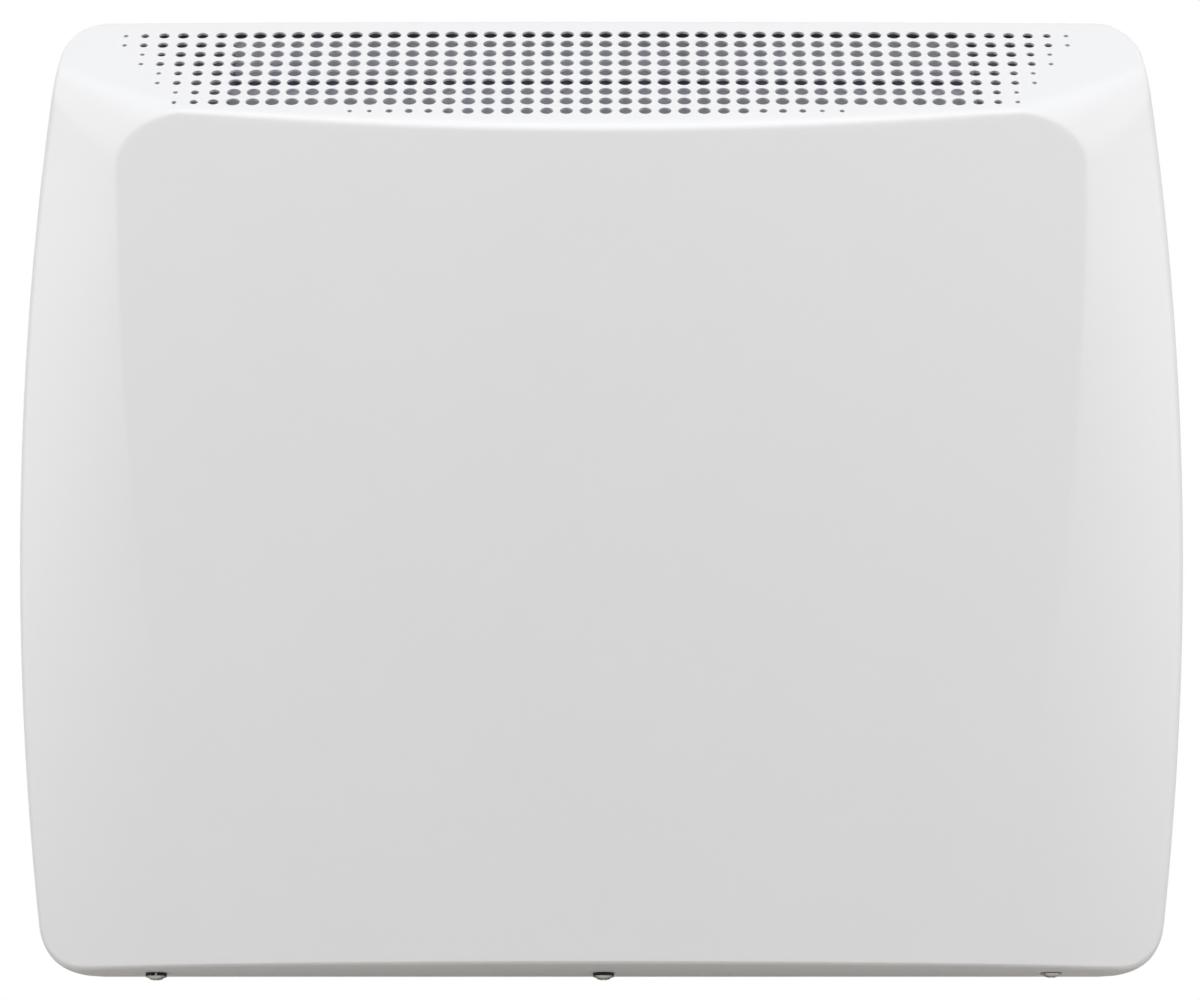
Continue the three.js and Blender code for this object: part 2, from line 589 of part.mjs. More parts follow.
const SHIELD = { bottom: -186, hem: 5, rise: 1.5, flange: 9, flangeZ: [-180, 160] };
function heatShield() {
  const half = END_WALL_X - FIT;
  const { bottom, hem, rise, flange, flangeZ } = SHIELD;
  const [d0, d1] = [SHIELD_DEPTH, SHIELD_DEPTH + THIN_SHEET];
  const face = box([-half, half], [d0, d1], [bottom, SHIELD_TOP_Z]);
  const lowerHem = box([-half, half], [d0 - hem, d1], [bottom, bottom + THIN_SHEET]);
  const upperHem = sweptAlongX([[d1, SHIELD_TOP_Z], [d1, SHIELD_TOP_Z - THIN_SHEET],
    [d0 - hem, SHIELD_TOP_Z + rise - THIN_SHEET], [d0 - hem, SHIELD_TOP_Z + rise]], [-half, half]);
  const flanges = [-1, 1].map((side) => {
    return box(between(side * half, side * (half - THIN_SHEET)), [d0 - flange, d1], flangeZ);
  });
  return unite(face, lowerHem, upperHem, ...flanges);
}

// A channel on the back plate whose front wall turns the warm air out through the grille
const DEFLECTOR = { bottom: 190, top: 206, footTop: 203, frontDepth: 28 };
function rearDeflector() {
  const { bottom, top, footTop, frontDepth } = DEFLECTOR;
  const [back, floor] = [CHAMBER_BACK, bottom + THIN_SHEET];
  const profile = [
    [back, bottom], [frontDepth, bottom], [frontDepth, top], [frontDepth - THIN_SHEET, top],
    [frontDepth - THIN_SHEET, floor], [back + THIN_SHEET, floor], [back + THIN_SHEET, footTop],
    [back, footTop]];
  return sweptAlongX(profile, [-END_WALL_X + FIT, END_WALL_X - FIT]);
}

// Extruded aluminium element: four ribbed arms round a core
const ARM_ANGLES = [56, 124, 236, 304];
const ARM_EDGE = [[5, 1.4], [6, 3.4], [8, 3.4], [9, 1.2], [13, 1.2], [14, 3], [16, 3], [17, 1], [22, 0.8]];
const ELEMENT = { coreR: 5.2, coreHalf: 152, armHalf: 150 };
function heatingElement() {
  const upper = [[0, ARM_EDGE[0][1]], ...ARM_EDGE];
  const outline = [...upper.map(([a, b]) => [a, -b]), ...upper.reverse()];
  const arms = ARM_ANGLES.map((angle) => {
    const points = turnedPoints(outline, angle * DEG, [ELEMENT_DEPTH, ELEMENT_Z]);
    return sweptAlongX(points, [-ELEMENT.armHalf, ELEMENT.armHalf]);
  });
  const circle = ngon(ELEMENT_DEPTH, ELEMENT_Z, ELEMENT.coreR, 12);
  return unite(sweptAlongX(circle, [-ELEMENT.coreHalf, ELEMENT.coreHalf]), ...arms);
}

const PIN = { collarR: 3, collar: 22, tipR: 2, length: 30 };
function elementPin(side) {
  const { collarR, collar, tipR, length } = PIN;
  const profile = [[0, 0], [collarR, 0], [collarR, collar], [tipR, collar], [tipR, length], [0, length]];
  return turned(profile, 10, [side, 0, 0], [side * (ELEMENT.coreHalf + FIT), ELEMENT_DEPTH, ELEMENT_Z]);
}

// Ceramic bush with a groove that sits in the end wall
const BUSH = { bore: PIN.collarR + FIT, r: 10, grooveR: 7.7, groove: [3.7, 5.3], length: 9 };
function elementBush(side) {
  const { bore, r, grooveR, groove, length } = BUSH;
  const profile = [
    [bore, 0], [r, 0], [r, groove[0]], [grooveR, groove[0]], [grooveR, groove[1]], [r, groove[1]],
    [r, length], [bore, length], [bore, 0]];
  return turned(profile, 12, [side, 0, 0], [side * (END_WALL_X - 4), ELEMENT_DEPTH, ELEMENT_Z]);
}

// Bimetal cut-out on the right-hand end wall: a can between two ears, with two flat tabs
const CUTOUT = { depth: 37, z: 60, ear: 13, tabX: [9, 17.5], tabHalf: 3.2, tabZ: 4 };
const TAB_HALF_THICKNESS = 0.4;
function thermalCutout() {
  const x = END_WALL_X + THIN_SHEET + FIT;
  const { depth, z, ear, tabX, tabHalf, tabZ } = CUTOUT;
  const profile = [[0, 0], [8.5, 0], [8.5, 1.2], [7.6, 1.8], [7.6, 9.5], [6.6, 10.2], [0, 10.2]];
  const can = turned(profile, 14, [1, 0, 0], [x, depth, z]);
  const ears = box([x, x + THIN_SHEET], [depth - ear, depth + ear], [z - 4, z + 4]);
  const xs = tabX.map((dx) => x + dx);
  const tabs = [-tabZ, tabZ].map((dz) => flatTab(xs, [depth - tabHalf, depth + tabHalf], z + dz));
  return unite(can, ears, ...tabs);
}

function flatTab(xs, depths, z) {
  return box(xs, depths, [z - TAB_HALF_THICKNESS, z + TAB_HALF_THICKNESS]);
}

// Controls, recessed in the right-hand side wall
const TRAY = { floorX: 245, sheet: 1.5, gap: 0.3, mouthX: 257.1 };
const TRAY_EAR = { x: [254, 255.2], depth: [12, 29.5], reach: 10 };
const SPINDLE_HOLE_R = 4.5;
const SWITCH_HOLE = { depth: 6.8, z: 12.8 };
function controlTray() {
  const [z0, z1] = CONTROL_Z;
  const [d0, d1] = CONTROL_DEPTH;
  const { floorX, sheet, gap, mouthX } = TRAY;
  const { x, depth, reach } = TRAY_EAR;
  const body = box([floorX, mouthX], [d0 + gap, d1 - gap], [z0 + gap, z1 - gap]);
  const ears = sweptAlongX(roundedRect(depth, [z0 - reach, z1 + reach], 3), x);
  const wall = gap + sheet;
  const inside = roundedRect([d0 + wall, d1 - wall], [z0 + wall, z1 - wall], 3);
  const hollow = sweptAlongX(inside, [floorX + sheet, mouthX + 1]);
  const floor = [floorX - 1, floorX + sheet + 1.5];
  const mid = CONTROL_MID_DEPTH;
  const spindleHole = sweptAlongX(ngon(mid, KNOB_Z, SPINDLE_HOLE_R, 10), floor);
  const switchHole = box(floor, around(mid, SWITCH_HOLE.depth), around(ROCKER_Z, SWITCH_HOLE.z));
  return cut(unite(body, ears), hollow, spindleHole, switchHole);
}

function around(middle, half) {
  return [middle - half, middle + half];
}

function roundedRect([a0, a1], [b0, b1], r) {
  const corners = [[a1 - r, b1 - r], [a0 + r, b1 - r], [a0 + r, b0 + r], [a1 - r, b0 + r]];
  return corners.flatMap(([a, b], k) => [0, 45, 90].map((step) => {
    const angle = (90 * k + step) * DEG;
    return [a + r * Math.cos(angle), b + r * Math.sin(angle)];
  }));
}

const THERMOSTAT = { depth: [-12.5, 16], z: [-15, 17], body: 24, plate: 2.5, tab: [31, 23], tabZ: 8 };
const THERMOSTAT_BORE = { r: 3.4, length: 10 };
function thermostatBody() {
  const front = TRAY.floorX - FIT;
  const d = CONTROL_MID_DEPTH;
  const { depth, z, body, plate, tab, tabZ } = THERMOSTAT;
  const outline = roundedRect(depth.map((v) => d + v), z.map((v) => KNOB_Z + v), 2.5);
  const shell = sweptAlongX(outline, [front - body, front - plate + 0.5]);
  const face = box([front - plate, front], [d - 11, d + 14], around(KNOB_Z, 11));
  const boreX = [front - THERMOSTAT_BORE.length, front + 1];
  const bore = sweptAlongX(ngon(d, KNOB_Z, THERMOSTAT_BORE.r, 10), boreX);
  const xs = tab.map((v) => front - v);
  const tabs = [-tabZ, tabZ].map((dz) => flatTab(xs, around(d, 3.1), KNOB_Z + dz));
  return unite(cut(unite(shell, face), bore), ...tabs);
}

// Knob with fluted grip over a skirt, on a flatted spindle
const KNOB = { skirtR: 12, gripR: 10, flutes: 14, fluteDepth: 0.8, base: 0.5, skirtH: 2.5, height: 11.2 };
const POINTER = { half: 0.7, deep: 1, z: [2, 9] };
const SPINDLE = { r: 3, reach: 8.6, flat: 2 };
function thermostatKnob() {
  const seat = TRAY.floorX + TRAY.sheet + KNOB.base;
  const top = seat + KNOB.height;
  const d = CONTROL_MID_DEPTH;
  const { skirtR, skirtH, gripR, flutes, fluteDepth } = KNOB;
  const skirtProfile = [[0, 0], [skirtR, 0], [skirtR, skirtH - 0.6], [skirtR - 0.8, skirtH], [0, skirtH]];
  const skirt = turned(skirtProfile, 20, [1, 0, 0], [seat, d, KNOB_Z]);
  const fluted = Array.from({ length: flutes * 2 }, (_, k) => {
    const angle = (Math.PI * k) / flutes;
    const r = gripR - (k % 2) * fluteDepth;
    return [d + r * Math.cos(angle), KNOB_Z + r * Math.sin(angle)];
  });
  const grip = sweptAlongX(fluted, [seat + 1, top - 1]);
  const crownProfile = [[0, 0], [gripR - 0.9, 0], [gripR - 1.6, 1.2], [0, 1.2]];
  const crown = turned(crownProfile, 20, [1, 0, 0], [top - 1.2, d, KNOB_Z]);
  const pointerZ = POINTER.z.map((v) => KNOB_Z + v);
  const pointer = box([top - POINTER.deep, top + 1], around(d, POINTER.half), pointerZ);
  const boreX = [seat - 1, seat + SPINDLE.reach + 0.4];
  const bore = sweptAlongX(ngon(d, KNOB_Z, SPINDLE.r + FIT + 0.1, 12), boreX);
  return cut(unite(skirt, grip, crown), pointer, bore);
}

function thermostatSpindle() {
  const seat = TRAY.floorX + TRAY.sheet + KNOB.base;
  const rear = TRAY.floorX - FIT - THERMOSTAT_BORE.length + 0.5;
  const rod = sweptAlongX(ngon(CONTROL_MID_DEPTH, KNOB_Z, SPINDLE.r, 12), [rear, seat + SPINDLE.reach]);
  const flatDepth = [CONTROL_MID_DEPTH + SPINDLE.flat, CONTROL_MID_DEPTH + 5];
  return cut(rod, box([seat + 0.5, seat + 10], flatDepth, around(KNOB_Z, 5)));
}

const SWITCH = { depth: 8.5, z: 14.5, bodyDepth: 6.5, bodyZ: 12.5, pocketDepth: 4.8, pocketZ: 10.6 };
const ROCKER = { halfLength: 9.6, halfWidth: 4.4, pivotX: 246.4, tilt: 10 };
function switchBody() {
  const d = CONTROL_MID_DEPTH;
  const seat = TRAY.floorX + TRAY.sheet + FIT;
  const frame = sweptAlongX(roundedRect(around(d, SWITCH.depth), around(ROCKER_Z, SWITCH.z), 1.5),
    [seat, seat + 2]);
  const body = box([seat - 19, seat + 0.5], around(d, SWITCH.bodyDepth), around(ROCKER_Z, SWITCH.bodyZ));
  const pocket = box([seat - 9, seat + 3], around(d, SWITCH.pocketDepth), around(ROCKER_Z, SWITCH.pocketZ));
  const tabs = [-7, 7].map((dz) => flatTab([seat - 27, seat - 18], around(d, 2.4), ROCKER_Z + dz));
  return unite(cut(unite(frame, body), pocket), ...tabs);
}

// The rocker at rest is pressed in at its lower end
function switchRocker() {
  const { halfLength, halfWidth, pivotX, tilt } = ROCKER;
  const outline = [[-4.2, -4], [-2.2, -halfLength], [3.4, -halfLength], [2.2, 0], [3.4, halfLength],
    [-2.2, halfLength], [-4.2, 4]];
  const points = turnedPoints(outline, -tilt * DEG, [pivotX, ROCKER_Z]);
  return sweptInDepth(points, around(CONTROL_MID_DEPTH, halfWidth));
}

// Connections in the right-hand compartment
const BLOCK = { x: 188, z: -152, pole: 12, height: 17, depth: 16, base: 6 };
const WAY = { half: 2.2, depth: [5.5, 9.9], screwInset: 4.5 };
function terminalBlock() {
  const d0 = CHAMBER_BACK;
  const { x, z, pole, height, depth, base } = BLOCK;
  const foot = box([x, x + 3 * pole], [d0, d0 + base], [z, z + height]);
  const outline = [[1, base - 1], [1, depth - 2], [3, depth], [pole - 3, depth], [pole - 1, depth - 2],
    [pole - 1, base - 1]];
  const parts = [0, 1, 2].map((k) => {
    const left = x + k * pole;
    return sweptUp(outline.map(([a, b]) => [left + a, d0 + b]), [z, z + height]);
  });
  const ways = [0, 1, 2].flatMap((k) => {
    const mid = x + (k + 0.5) * pole;
    const wire = box(around(mid, WAY.half), WAY.depth.map((v) => d0 + v), [z - 1, z + height + 1]);
    const screws = [z + WAY.screwInset, z + height - WAY.screwInset].map((level) => {
      return sweptInDepth(ngon(mid, level, WAY.half, 8), [d0 + 9, d0 + depth + 1]);
    });
    return [wire, ...screws];
  });
  return cut(unite(foot, ...parts), ...ways);
}

const GROMMET_LIP = { r: 10.5, bore: 4.5, thick: 2.5 };
function cableGrommet() {
  const neck = GROMMET.holeR - FIT;
  const { r, bore, thick } = GROMMET_LIP;
  const [back, front] = [PAN_BACK_DEPTH - FIT, CHAMBER_BACK];
  const profile = [
    [bore, back - thick], [r, back - thick], [r, back], [neck, back], [neck, front], [r, front],
    [r - 0.5, front + thick], [bore, front + thick], [bore, back - thick]];
  return turned(profile, 12, [0, -1, 0], [GROMMET.x, 0, GROMMET.z]);
}

function earthStud() {
  const [back, front] = [PAN_BACK_DEPTH - FIT, PAN_FRONT_DEPTH];
  const profile = [[0, back - 2], [4, back - 2], [4, back], [2, back], [2, front + 12], [0, front + 12]];
  return turned(profile, 10, [0, -1, 0], [EARTH.x, 0, EARTH.z]);
}

function earthNut() {
  const seat = CHAMBER_BACK;
  const nut = sweptInDepth(ngon(EARTH.x, EARTH.z, 4.04, 6), [seat + 1, seat + 4.2]);
  const washer = sweptInDepth(ngon(EARTH.x, EARTH.z, 5, 12), [seat, seat + 1.2]);
  const bore = sweptInDepth(ngon(EARTH.x, EARTH.z, 2.3, 10), [seat - 1, seat + 6]);
  return cut(unite(nut, washer), bore);
}

// A lead is a five-sided tube along a smooth route of (x, depth, z) points
const LEAD_R = 1.3;
function lead(route, steps) {
  const curve = new THREE.CatmullRomCurve3(route.map(([x, depth, z]) => new THREE.Vector3(x, -depth, z)));
  const section = shapeOf(ngon(0, 0, LEAD_R, 5));
  return solidOf(new THREE.ExtrudeGeometry(section, { steps, bevelEnabled: false, extrudePath: curve }));
}

function leads() {
  const poleX = (k) => BLOCK.x + (k + 0.5) * BLOCK.pole;
  const wayDepth = CHAMBER_BACK + 7.7;
  const blockTop = BLOCK.z + BLOCK.height + 0.5;
  const d = CONTROL_MID_DEPTH;
  const switchTab = TRAY.floorX + TRAY.sheet + FIT - 28.5;
  const statTab = TRAY.floorX - FIT - 32.5;
  const pinX = ELEMENT.coreHalf + FIT + 31.8;
  const cutoutTab = END_WALL_X + 20.5;
  const live = [[poleX(0), wayDepth, blockTop], [poleX(0), 22, -115], [204, d, -62],
    [switchTab - 6, d, -51.5], [switchTab, d, -51]];
  const switched = [[switchTab, d, -37], [208, d, -35], [203, d, -22], [206, d, -11], [statTab, d, -10]];
  const toCutout = [[statTab, d, 6], [204, d, 9], [198, 30, 32], [192, CUTOUT.depth, 53],
    [cutoutTab, CUTOUT.depth, 55.5]];
  const toElement = [[cutoutTab, CUTOUT.depth, 64.5], [194, 40, 66], [197, 46, 30], [196, 47, -60],
    [192, 40, -112], [pinX, ELEMENT_DEPTH, ELEMENT_Z]];
  const neutral = [[-pinX, ELEMENT_DEPTH, ELEMENT_Z], [-190, 36, -130], [-186, 27, -170],
    [-172, 24, -180], [-150, 24, -180], [0, 24, -180], [150, 24, -180], [174, 24, -180],
    [poleX(1) - 8, 23, -174], [poleX(1), wayDepth, -160], [poleX(1), wayDepth, BLOCK.z - 0.5]];
  const earth = [[poleX(2), wayDepth, blockTop], [poleX(2) + 2, 21, -127], [231, 21, -119],
    [EARTH.x - 5.8, 18, EARTH.z]];
  return [
    ['lead_live', live, 9, LEAD_BROWN],
    ['lead_switched', switched, 9, LEAD_BROWN],
    ['lead_thermostat', toCutout, 9, LEAD_BROWN],
    ['lead_element', toElement, 14, LEAD_BROWN],
    ['lead_neutral', neutral, 24, LEAD_BLUE],
    ['lead_earth', earth, 7, LEAD_GREEN],
  ];
}

const group = new THREE.Group();
function add(name, solid, material) {
  const mesh = new THREE.Mesh(geometryOf(solid), material);
  mesh.name = name;
  group.add(mesh);
}

add('front_cover', frontCover(), WHITE_ENAMEL);
add('back_plate', backPlate(), GALVANISED);
add('wall_bracket', wallBracket(), GALVANISED);
add('bracket_catch', bracketCatch(), ZINC);
add('catch_spring', helix(2.3, 0.4, 5, 14, [0, 6, -171]), ZINC);
['left', 'centre', 'right'].forEach((side, k) => {
  add(`cover_screw_${side}`, coverScrew(SCREW_XS[k], SCREW_STAND_OFFS[k]), ZINC);
});
for (const [side, sign] of [['left', -1], ['right', 1]]) {
  add(`wall_foot_${side}`, wallFoot(sign * FOOT.x), BLACK_RUBBER);
  add(`end_wall_${side}`, endWall(sign), GALVANISED);
  add(`element_pin_${side}`, elementPin(sign), ZINC);
  add(`element_bush_${side}`, elementBush(sign), CERAMIC);
}
add('heat_shield', heatShield(), GALVANISED);
add('rear_deflector', rearDeflector(), GALVANISED);
add('heating_element', heatingElement(), ALUMINIUM);
add('thermal_cutout', thermalCutout(), DARK_PLASTIC);
add('control_tray', controlTray(), WHITE_PLASTIC);
add('thermostat_body', thermostatBody(), DARK_PLASTIC);
add('thermostat_spindle', thermostatSpindle(), ZINC);
add('thermostat_knob', thermostatKnob(), WHITE_PLASTIC);
add('switch_body', switchBody(), DARK_PLASTIC);
add('switch_rocker', switchRocker(), WHITE_PLASTIC);
add('terminal_block', terminalBlock(), WHITE_PLASTIC);
add('cable_grommet', cableGrommet(), BLACK_RUBBER);
add('earth_stud', earthStud(), BRASS);
add('earth_nut', earthNut(), BRASS);
for (const [name, route, steps, material] of leads()) {
  add(name, lead(route, steps), material);
}

export default group;
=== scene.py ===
"""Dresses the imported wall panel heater: enamelled cover, fixings, controls, finishes and stage."""
import json
import math

import bmesh
import bpy
import numpy as np
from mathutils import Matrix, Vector


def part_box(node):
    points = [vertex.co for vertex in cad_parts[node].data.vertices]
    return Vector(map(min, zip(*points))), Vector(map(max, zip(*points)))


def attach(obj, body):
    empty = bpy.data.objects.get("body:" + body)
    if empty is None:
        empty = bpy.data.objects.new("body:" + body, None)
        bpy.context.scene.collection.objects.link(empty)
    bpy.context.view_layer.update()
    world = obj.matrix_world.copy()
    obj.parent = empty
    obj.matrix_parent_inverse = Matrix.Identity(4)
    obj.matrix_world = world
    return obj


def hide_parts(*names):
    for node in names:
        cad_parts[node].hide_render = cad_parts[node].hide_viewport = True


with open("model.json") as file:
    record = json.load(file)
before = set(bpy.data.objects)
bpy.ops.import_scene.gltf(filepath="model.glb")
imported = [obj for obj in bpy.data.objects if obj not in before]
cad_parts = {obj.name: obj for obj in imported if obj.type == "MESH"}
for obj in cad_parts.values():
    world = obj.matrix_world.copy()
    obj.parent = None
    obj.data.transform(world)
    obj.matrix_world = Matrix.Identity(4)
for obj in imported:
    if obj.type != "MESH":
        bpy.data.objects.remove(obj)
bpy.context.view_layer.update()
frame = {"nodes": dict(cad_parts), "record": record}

bl_info = {
    "name": "Panel heater dressing",
    "version": (1, 0, 0),
    "blender": (4, 5, 0),
    "location": "View3D > Sidebar > Heater",
    "description": "Builds the cover, fixings, controls, finishes and stage of a wall panel heater",
    "category": "Object",
}

MM = 0.001
FULL_TURN = 2 * math.pi
WHITE = (1, 1, 1, 1)

# Case form in millimetres. "Depth" is the distance in front of the wall. The side rim lies 15 mm
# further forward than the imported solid's, and the top rim 4.6 mm. In front view the two outlines
# differ by less than 1 mm. A corner is an arc's radius and the side's lean in degrees where they
# touch.
TOP_Z = 215.0
BOTTOM_Z = -213.35
WIDEST_HALF = 257.95
WIDEST_Z = -28.0
SIDE_ARC_R = 1525.0
TOP_CORNER = (18.5, 8.0)
BOTTOM_CORNER = (27.2, 6.2)
FACE_DEPTH = 102.9
FACE_BOW = 4.1e-4
TOP_RIM_DEPTH = 26.6
TOP_SLOPE = 1.483
TOP_BOW = 0.7e-4
CREASE_HALF = 212.5
CREASE_CURVE = 3.2e-4
CREASE_STRAIGHT_Z = 150.0
CREASE_BLEND = 20.0
CREASE_CORNER_R = 27.0
RIM_CORNER_R = 12.0
BOTTOM_RIM = 0.1
SIDE_RIM_DEPTH = 60.0

# Side bands: their slope at the rim as a share of their mean slope, which grows downwards
BAND_FLAT_Z = 130.0
BAND_START = 1.1
BAND_START_GAIN = 0.2
BAND_ROUND_SPAN = 330.0

# Underside, which falls towards the wall and droops at the front. The rounding of the edge in
# front of it fades out round the corners.
UNDER_FRONT_Z = -200.0
UNDER_BACK_DEPTH = 40.0
UNDER_SLOPE = (UNDER_FRONT_Z - BOTTOM_Z) / (FACE_DEPTH - UNDER_BACK_DEPTH)
UNDER_TILT = math.atan(UNDER_SLOPE)
UNDER_DROOP = 1.9
UNDER_DROOP_BOW = 2.0e-5
UNDER_CORNER_POWER = 6
UNDER_TURNED = 0.8
LEAST_EDGE = 0.01

# The top edge drops towards its ends, by a setting at this distance from the middle
CROWN_REACH = 230.0
CROWN_FROM_Z = 120.0
CROWN_BLEND = 60.0

# Steps of the surface's arithmetic
HALVINGS = 34
SLOPE_STEP = 0.05
TINY = 1e-6

# The skirt widens towards the wall, a little more near the top and the bottom
COVER_BACK_DEPTH = 4.0
SKIRT_RINGS = 8
SKIRT_EASE = 4
BACK_FLARE = 1.35
END_FLARE = 0.7
UPPER_FLARE_Z, UPPER_FLARE_SPAN = 50.0, 100.0
LOWER_FLARE_Z, LOWER_FLARE_SPAN = -150.0, 40.0

# The surface's grid: drops below the top, spans of rows, steps of columns between marks that are
# set off from the crease and the outline, and distances of the last columns from the outline
TOP_RIM_ROWS = (0.0, 0.03, 0.12, 0.27, 0.48, 0.75, 1.05)
ROW_SPANS = (
    (TOP_Z - 1.4, 178.0, 25), (178.0, 157.0, 34), (157.0, 138.0, 15), (138.0, -184.0, 34),
    (-184.0, -197.0, 14), (-197.0, -205.5, 26), (-205.5, BOTTOM_Z, 12))
COLUMN_STEPS = (12, 14, 12, 10, 11)
CREASE_CLEAR = 24.0
CREASE_MARKS = (-30.0, -6.0, 6.0)
OUTLINE_MARKS = (-12.0, -3.2)
COLUMN_RIM = (3.2, 2.5, 1.8, 1.25, 0.8, 0.45, 0.2, 0.05, 0.0)

# Boxes that are cut out or joined on, as spans along x, depth and z
TAB = ((8.4, 9.6), (205.0, 213.9))
BOXES = {
    "Intake": ("DIFFERENCE", (
        (-222.0, 222.0), (0.0, UNDER_BACK_DEPTH), (BOTTOM_Z - 1, BOTTOM_Z + 6))),
    "Controls": ("DIFFERENCE", (
        (WIDEST_HALF - 6, WIDEST_HALF + 4), (8.0, 41.3), (-66.0, 18.0))),
    "Left tab": ("UNION", ((-190.0, -150.0), *TAB)),
    "Right tab": ("UNION", ((150.0, 190.0), *TAB)),
}
SCREW_HOLE_R = 2.9

# Screws, and the black rings of painted shade that fill the gaps under their heads, from left to
# right
SCREW_DEPTH = 56.0
SCREW_STAND_OFFS = (1.75, 1.65, 0.55)
DOME_SHARE = 0.74
DOME_DEGREES = (0, 12, 24, 36, 48, 60, 70)
RECESS_REACH, RECESS_HALF, RECESS_TAPER, RECESS_OVER = 2.6, 0.55, 0.45, 0.5
# Black rings of painted shade in the gaps under the heads: radii, thickness, front opening, steps
# round
SHADE_RING_RADII = (2.1, 4.7)
SHADE_RING_GAPS = (1.45, 1.37, 0.25)
SHADE_RING_OPENINGS = (0.3, 0.0, 0.0)
SHADE_RING_STEPS = 48

# Rubber feet and grommet on the back plate
PAN_BACK = 10.0
PAN_FRONT = 11.2
FIT = 0.3
FOOT_PLACE = (226.0, -165.0)
GROMMET_PLACE = (208.0, -182.0)
TURNED_SIDES = 40

# Controls in the tray
CONTROL_MID_DEPTH = 24.65
KNOB_Z = -2.0
KNOB_SEAT_X = 247.0
FLUTE_DEPTH = 0.55
SIDES_PER_FLUTE = 6
POINTER_SUNK = 1.0
POINTER_DEPTHS = (23.95, 25.35)
POINTER_REACH = (2.5, 9.5)
BORE_R, BORE_LENGTH, BORE_SIDES = 3.4, 9.0, 32
ROCKER_Z = -44.0
ROCKER_PIVOT_X = 246.4
ROCKER_TILT = math.radians(10)
ROCKER_HALF_LENGTH = 9.6
ROCKER_HALF_WIDTH = 4.4
ROCKER_FACE = (2.2, 1.2)
ROCKER_STEPS = 12

# Grille
GRILLE_PITCH = 8.6
GRILLE_ROW_STEP_Z = 4.8125
GRILLE_FIRST_Z = 208.23
GRILLE_CENTRE_X = -2.45
GRILLE_COLUMNS = 50
GRILLE_ROW_STARTS = (0, 0, 1, 1, 2, 2, 3, 3, 12)
GRILLE_FULL_FROM_COLUMN = 6
HOLE_EDGE_SIZES = (2.2, 3.6, 4.7, 5.1)
HOLE_LAST_ROW_SIZES = (2.2, 2.2, 3.1, 3.5, 3.5, 4.8, 5.2, 5.6)

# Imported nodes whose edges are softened, once their facets are joined (gap in metres)
FOLDED = ("back_plate", "wall_bracket", "bracket_catch", "heat_shield", "rear_deflector",
          "end_wall_left", "end_wall_right")
MOULDED = ("control_tray", "switch_body", "thermostat_body", "terminal_block", "thermal_cutout")
MOULDED_EDGE_SHARE = 1.8
WELD_GAP = 0.00001
FLAT_DEGREES = 0.5

# Stage, in metres, with each lamp's name, place and size
FLOOR_RADIUS = 1.25
FLOOR_CENTRE = 0.65
FLOOR_SIDES = 96
LAMP_AIM = (0.0, -0.05, 0.0)
LAMPS = (
    ("overhead", (0.0, -1.1, 2.0), (2.4, 1.2)), ("high", (0.0, -1.9, 1.6), (2.2, 1.2)),
    ("left", (-1.7, -0.5, 0.3), (0.9, 1.3)), ("right", (1.7, -0.5, 0.3), (0.9, 1.3)))
SENSOR_WIDTH = 36.0
PICTURE_WIDTH = 1200
PICTURE_SHIFT = (-1.5, -0.5)


# Settings a user would change

def length(name, description, millimetres, low=0.0, high=1000.0):
    """A length in metres with its default written in millimetres."""
    return bpy.props.FloatProperty(
        name=name, description=description, default=millimetres * MM, min=low * MM, max=high * MM,
        subtype="DISTANCE", unit="LENGTH", precision=5)


def colour(name, description, value):
    return bpy.props.FloatVectorProperty(
        name=name, description=description, default=value, size=3, min=0.0, max=1.0,
        subtype="COLOR")


def factor(name, description, value, low=0.0, high=1.0):
    return bpy.props.FloatProperty(
        name=name, description=description, default=value, min=low, max=high, subtype="FACTOR")


def power(name, description, watts):
    return bpy.props.FloatProperty(
        name=name, description=description, default=watts, min=0.0, unit="POWER")


class HeaterCoverSettings(bpy.types.PropertyGroup):
    sheet: length("Sheet", "Thickness of the pressed steel", 1.2, 0.5, 3.0)
    crease_radius: length(
        "Side crease radius", "Rounding where the face meets the bands", 3.2, 1.0, 12.0)
    top_crease_radius: length(
        "Top crease radius", "Rounding where the face meets the top slope", 11.0, 1.0, 16.0)
    lower_radius: length("Lower edge radius", "Rounding of the lower front edge", 2.2, 1.0, 15.0)
    side_rim: length("Side rim", "Rounding where the bands meet the side walls", 2.6, 0.5, 5.0)
    top_rim: length("Top rim", "Rounding of the top back edge", 1.2, 0.3, 4.0)
    crown: length("Crown", "How far the top edge drops towards its ends", 0.5, 0.0, 3.0)
    hole: length("Perforation", "Diameter of the full perforations", 6.1, 3.0, 7.0)
    hole_edge: length("Perforation edge", "Softened edge of each perforation", 0.15, 0.0, 0.8)
    enamel: colour("Enamel", "Colour of the powder coat", (0.846, 0.850, 0.863))
    enamel_roughness: factor("Enamel roughness", "Roughness of the powder coat", 0.42)
    peel: factor("Orange peel", "Strength of the powder coat's fine texture", 0.12)


class HeaterFixingSettings(bpy.types.PropertyGroup):
    head_radius: length("Head radius", "Radius of the pan heads", 4.75, 2.0, 8.0)
    head_height: length("Head height", "Height of the pan heads", 1.8, 1.0, 6.0)
    flange: length("Head flange", "Thickness of the washer face of each head", 0.35, 0.2, 2.0)
    shank_radius: length("Shank radius", "Radius of the shanks", 1.9, 1.0, 4.0)
    shank: length("Shank length", "Length of each shank inside", 11.0, 4.0, 30.0)
    zinc: colour("Zinc", "Colour of the plated fixings", (0.72, 0.72, 0.69))


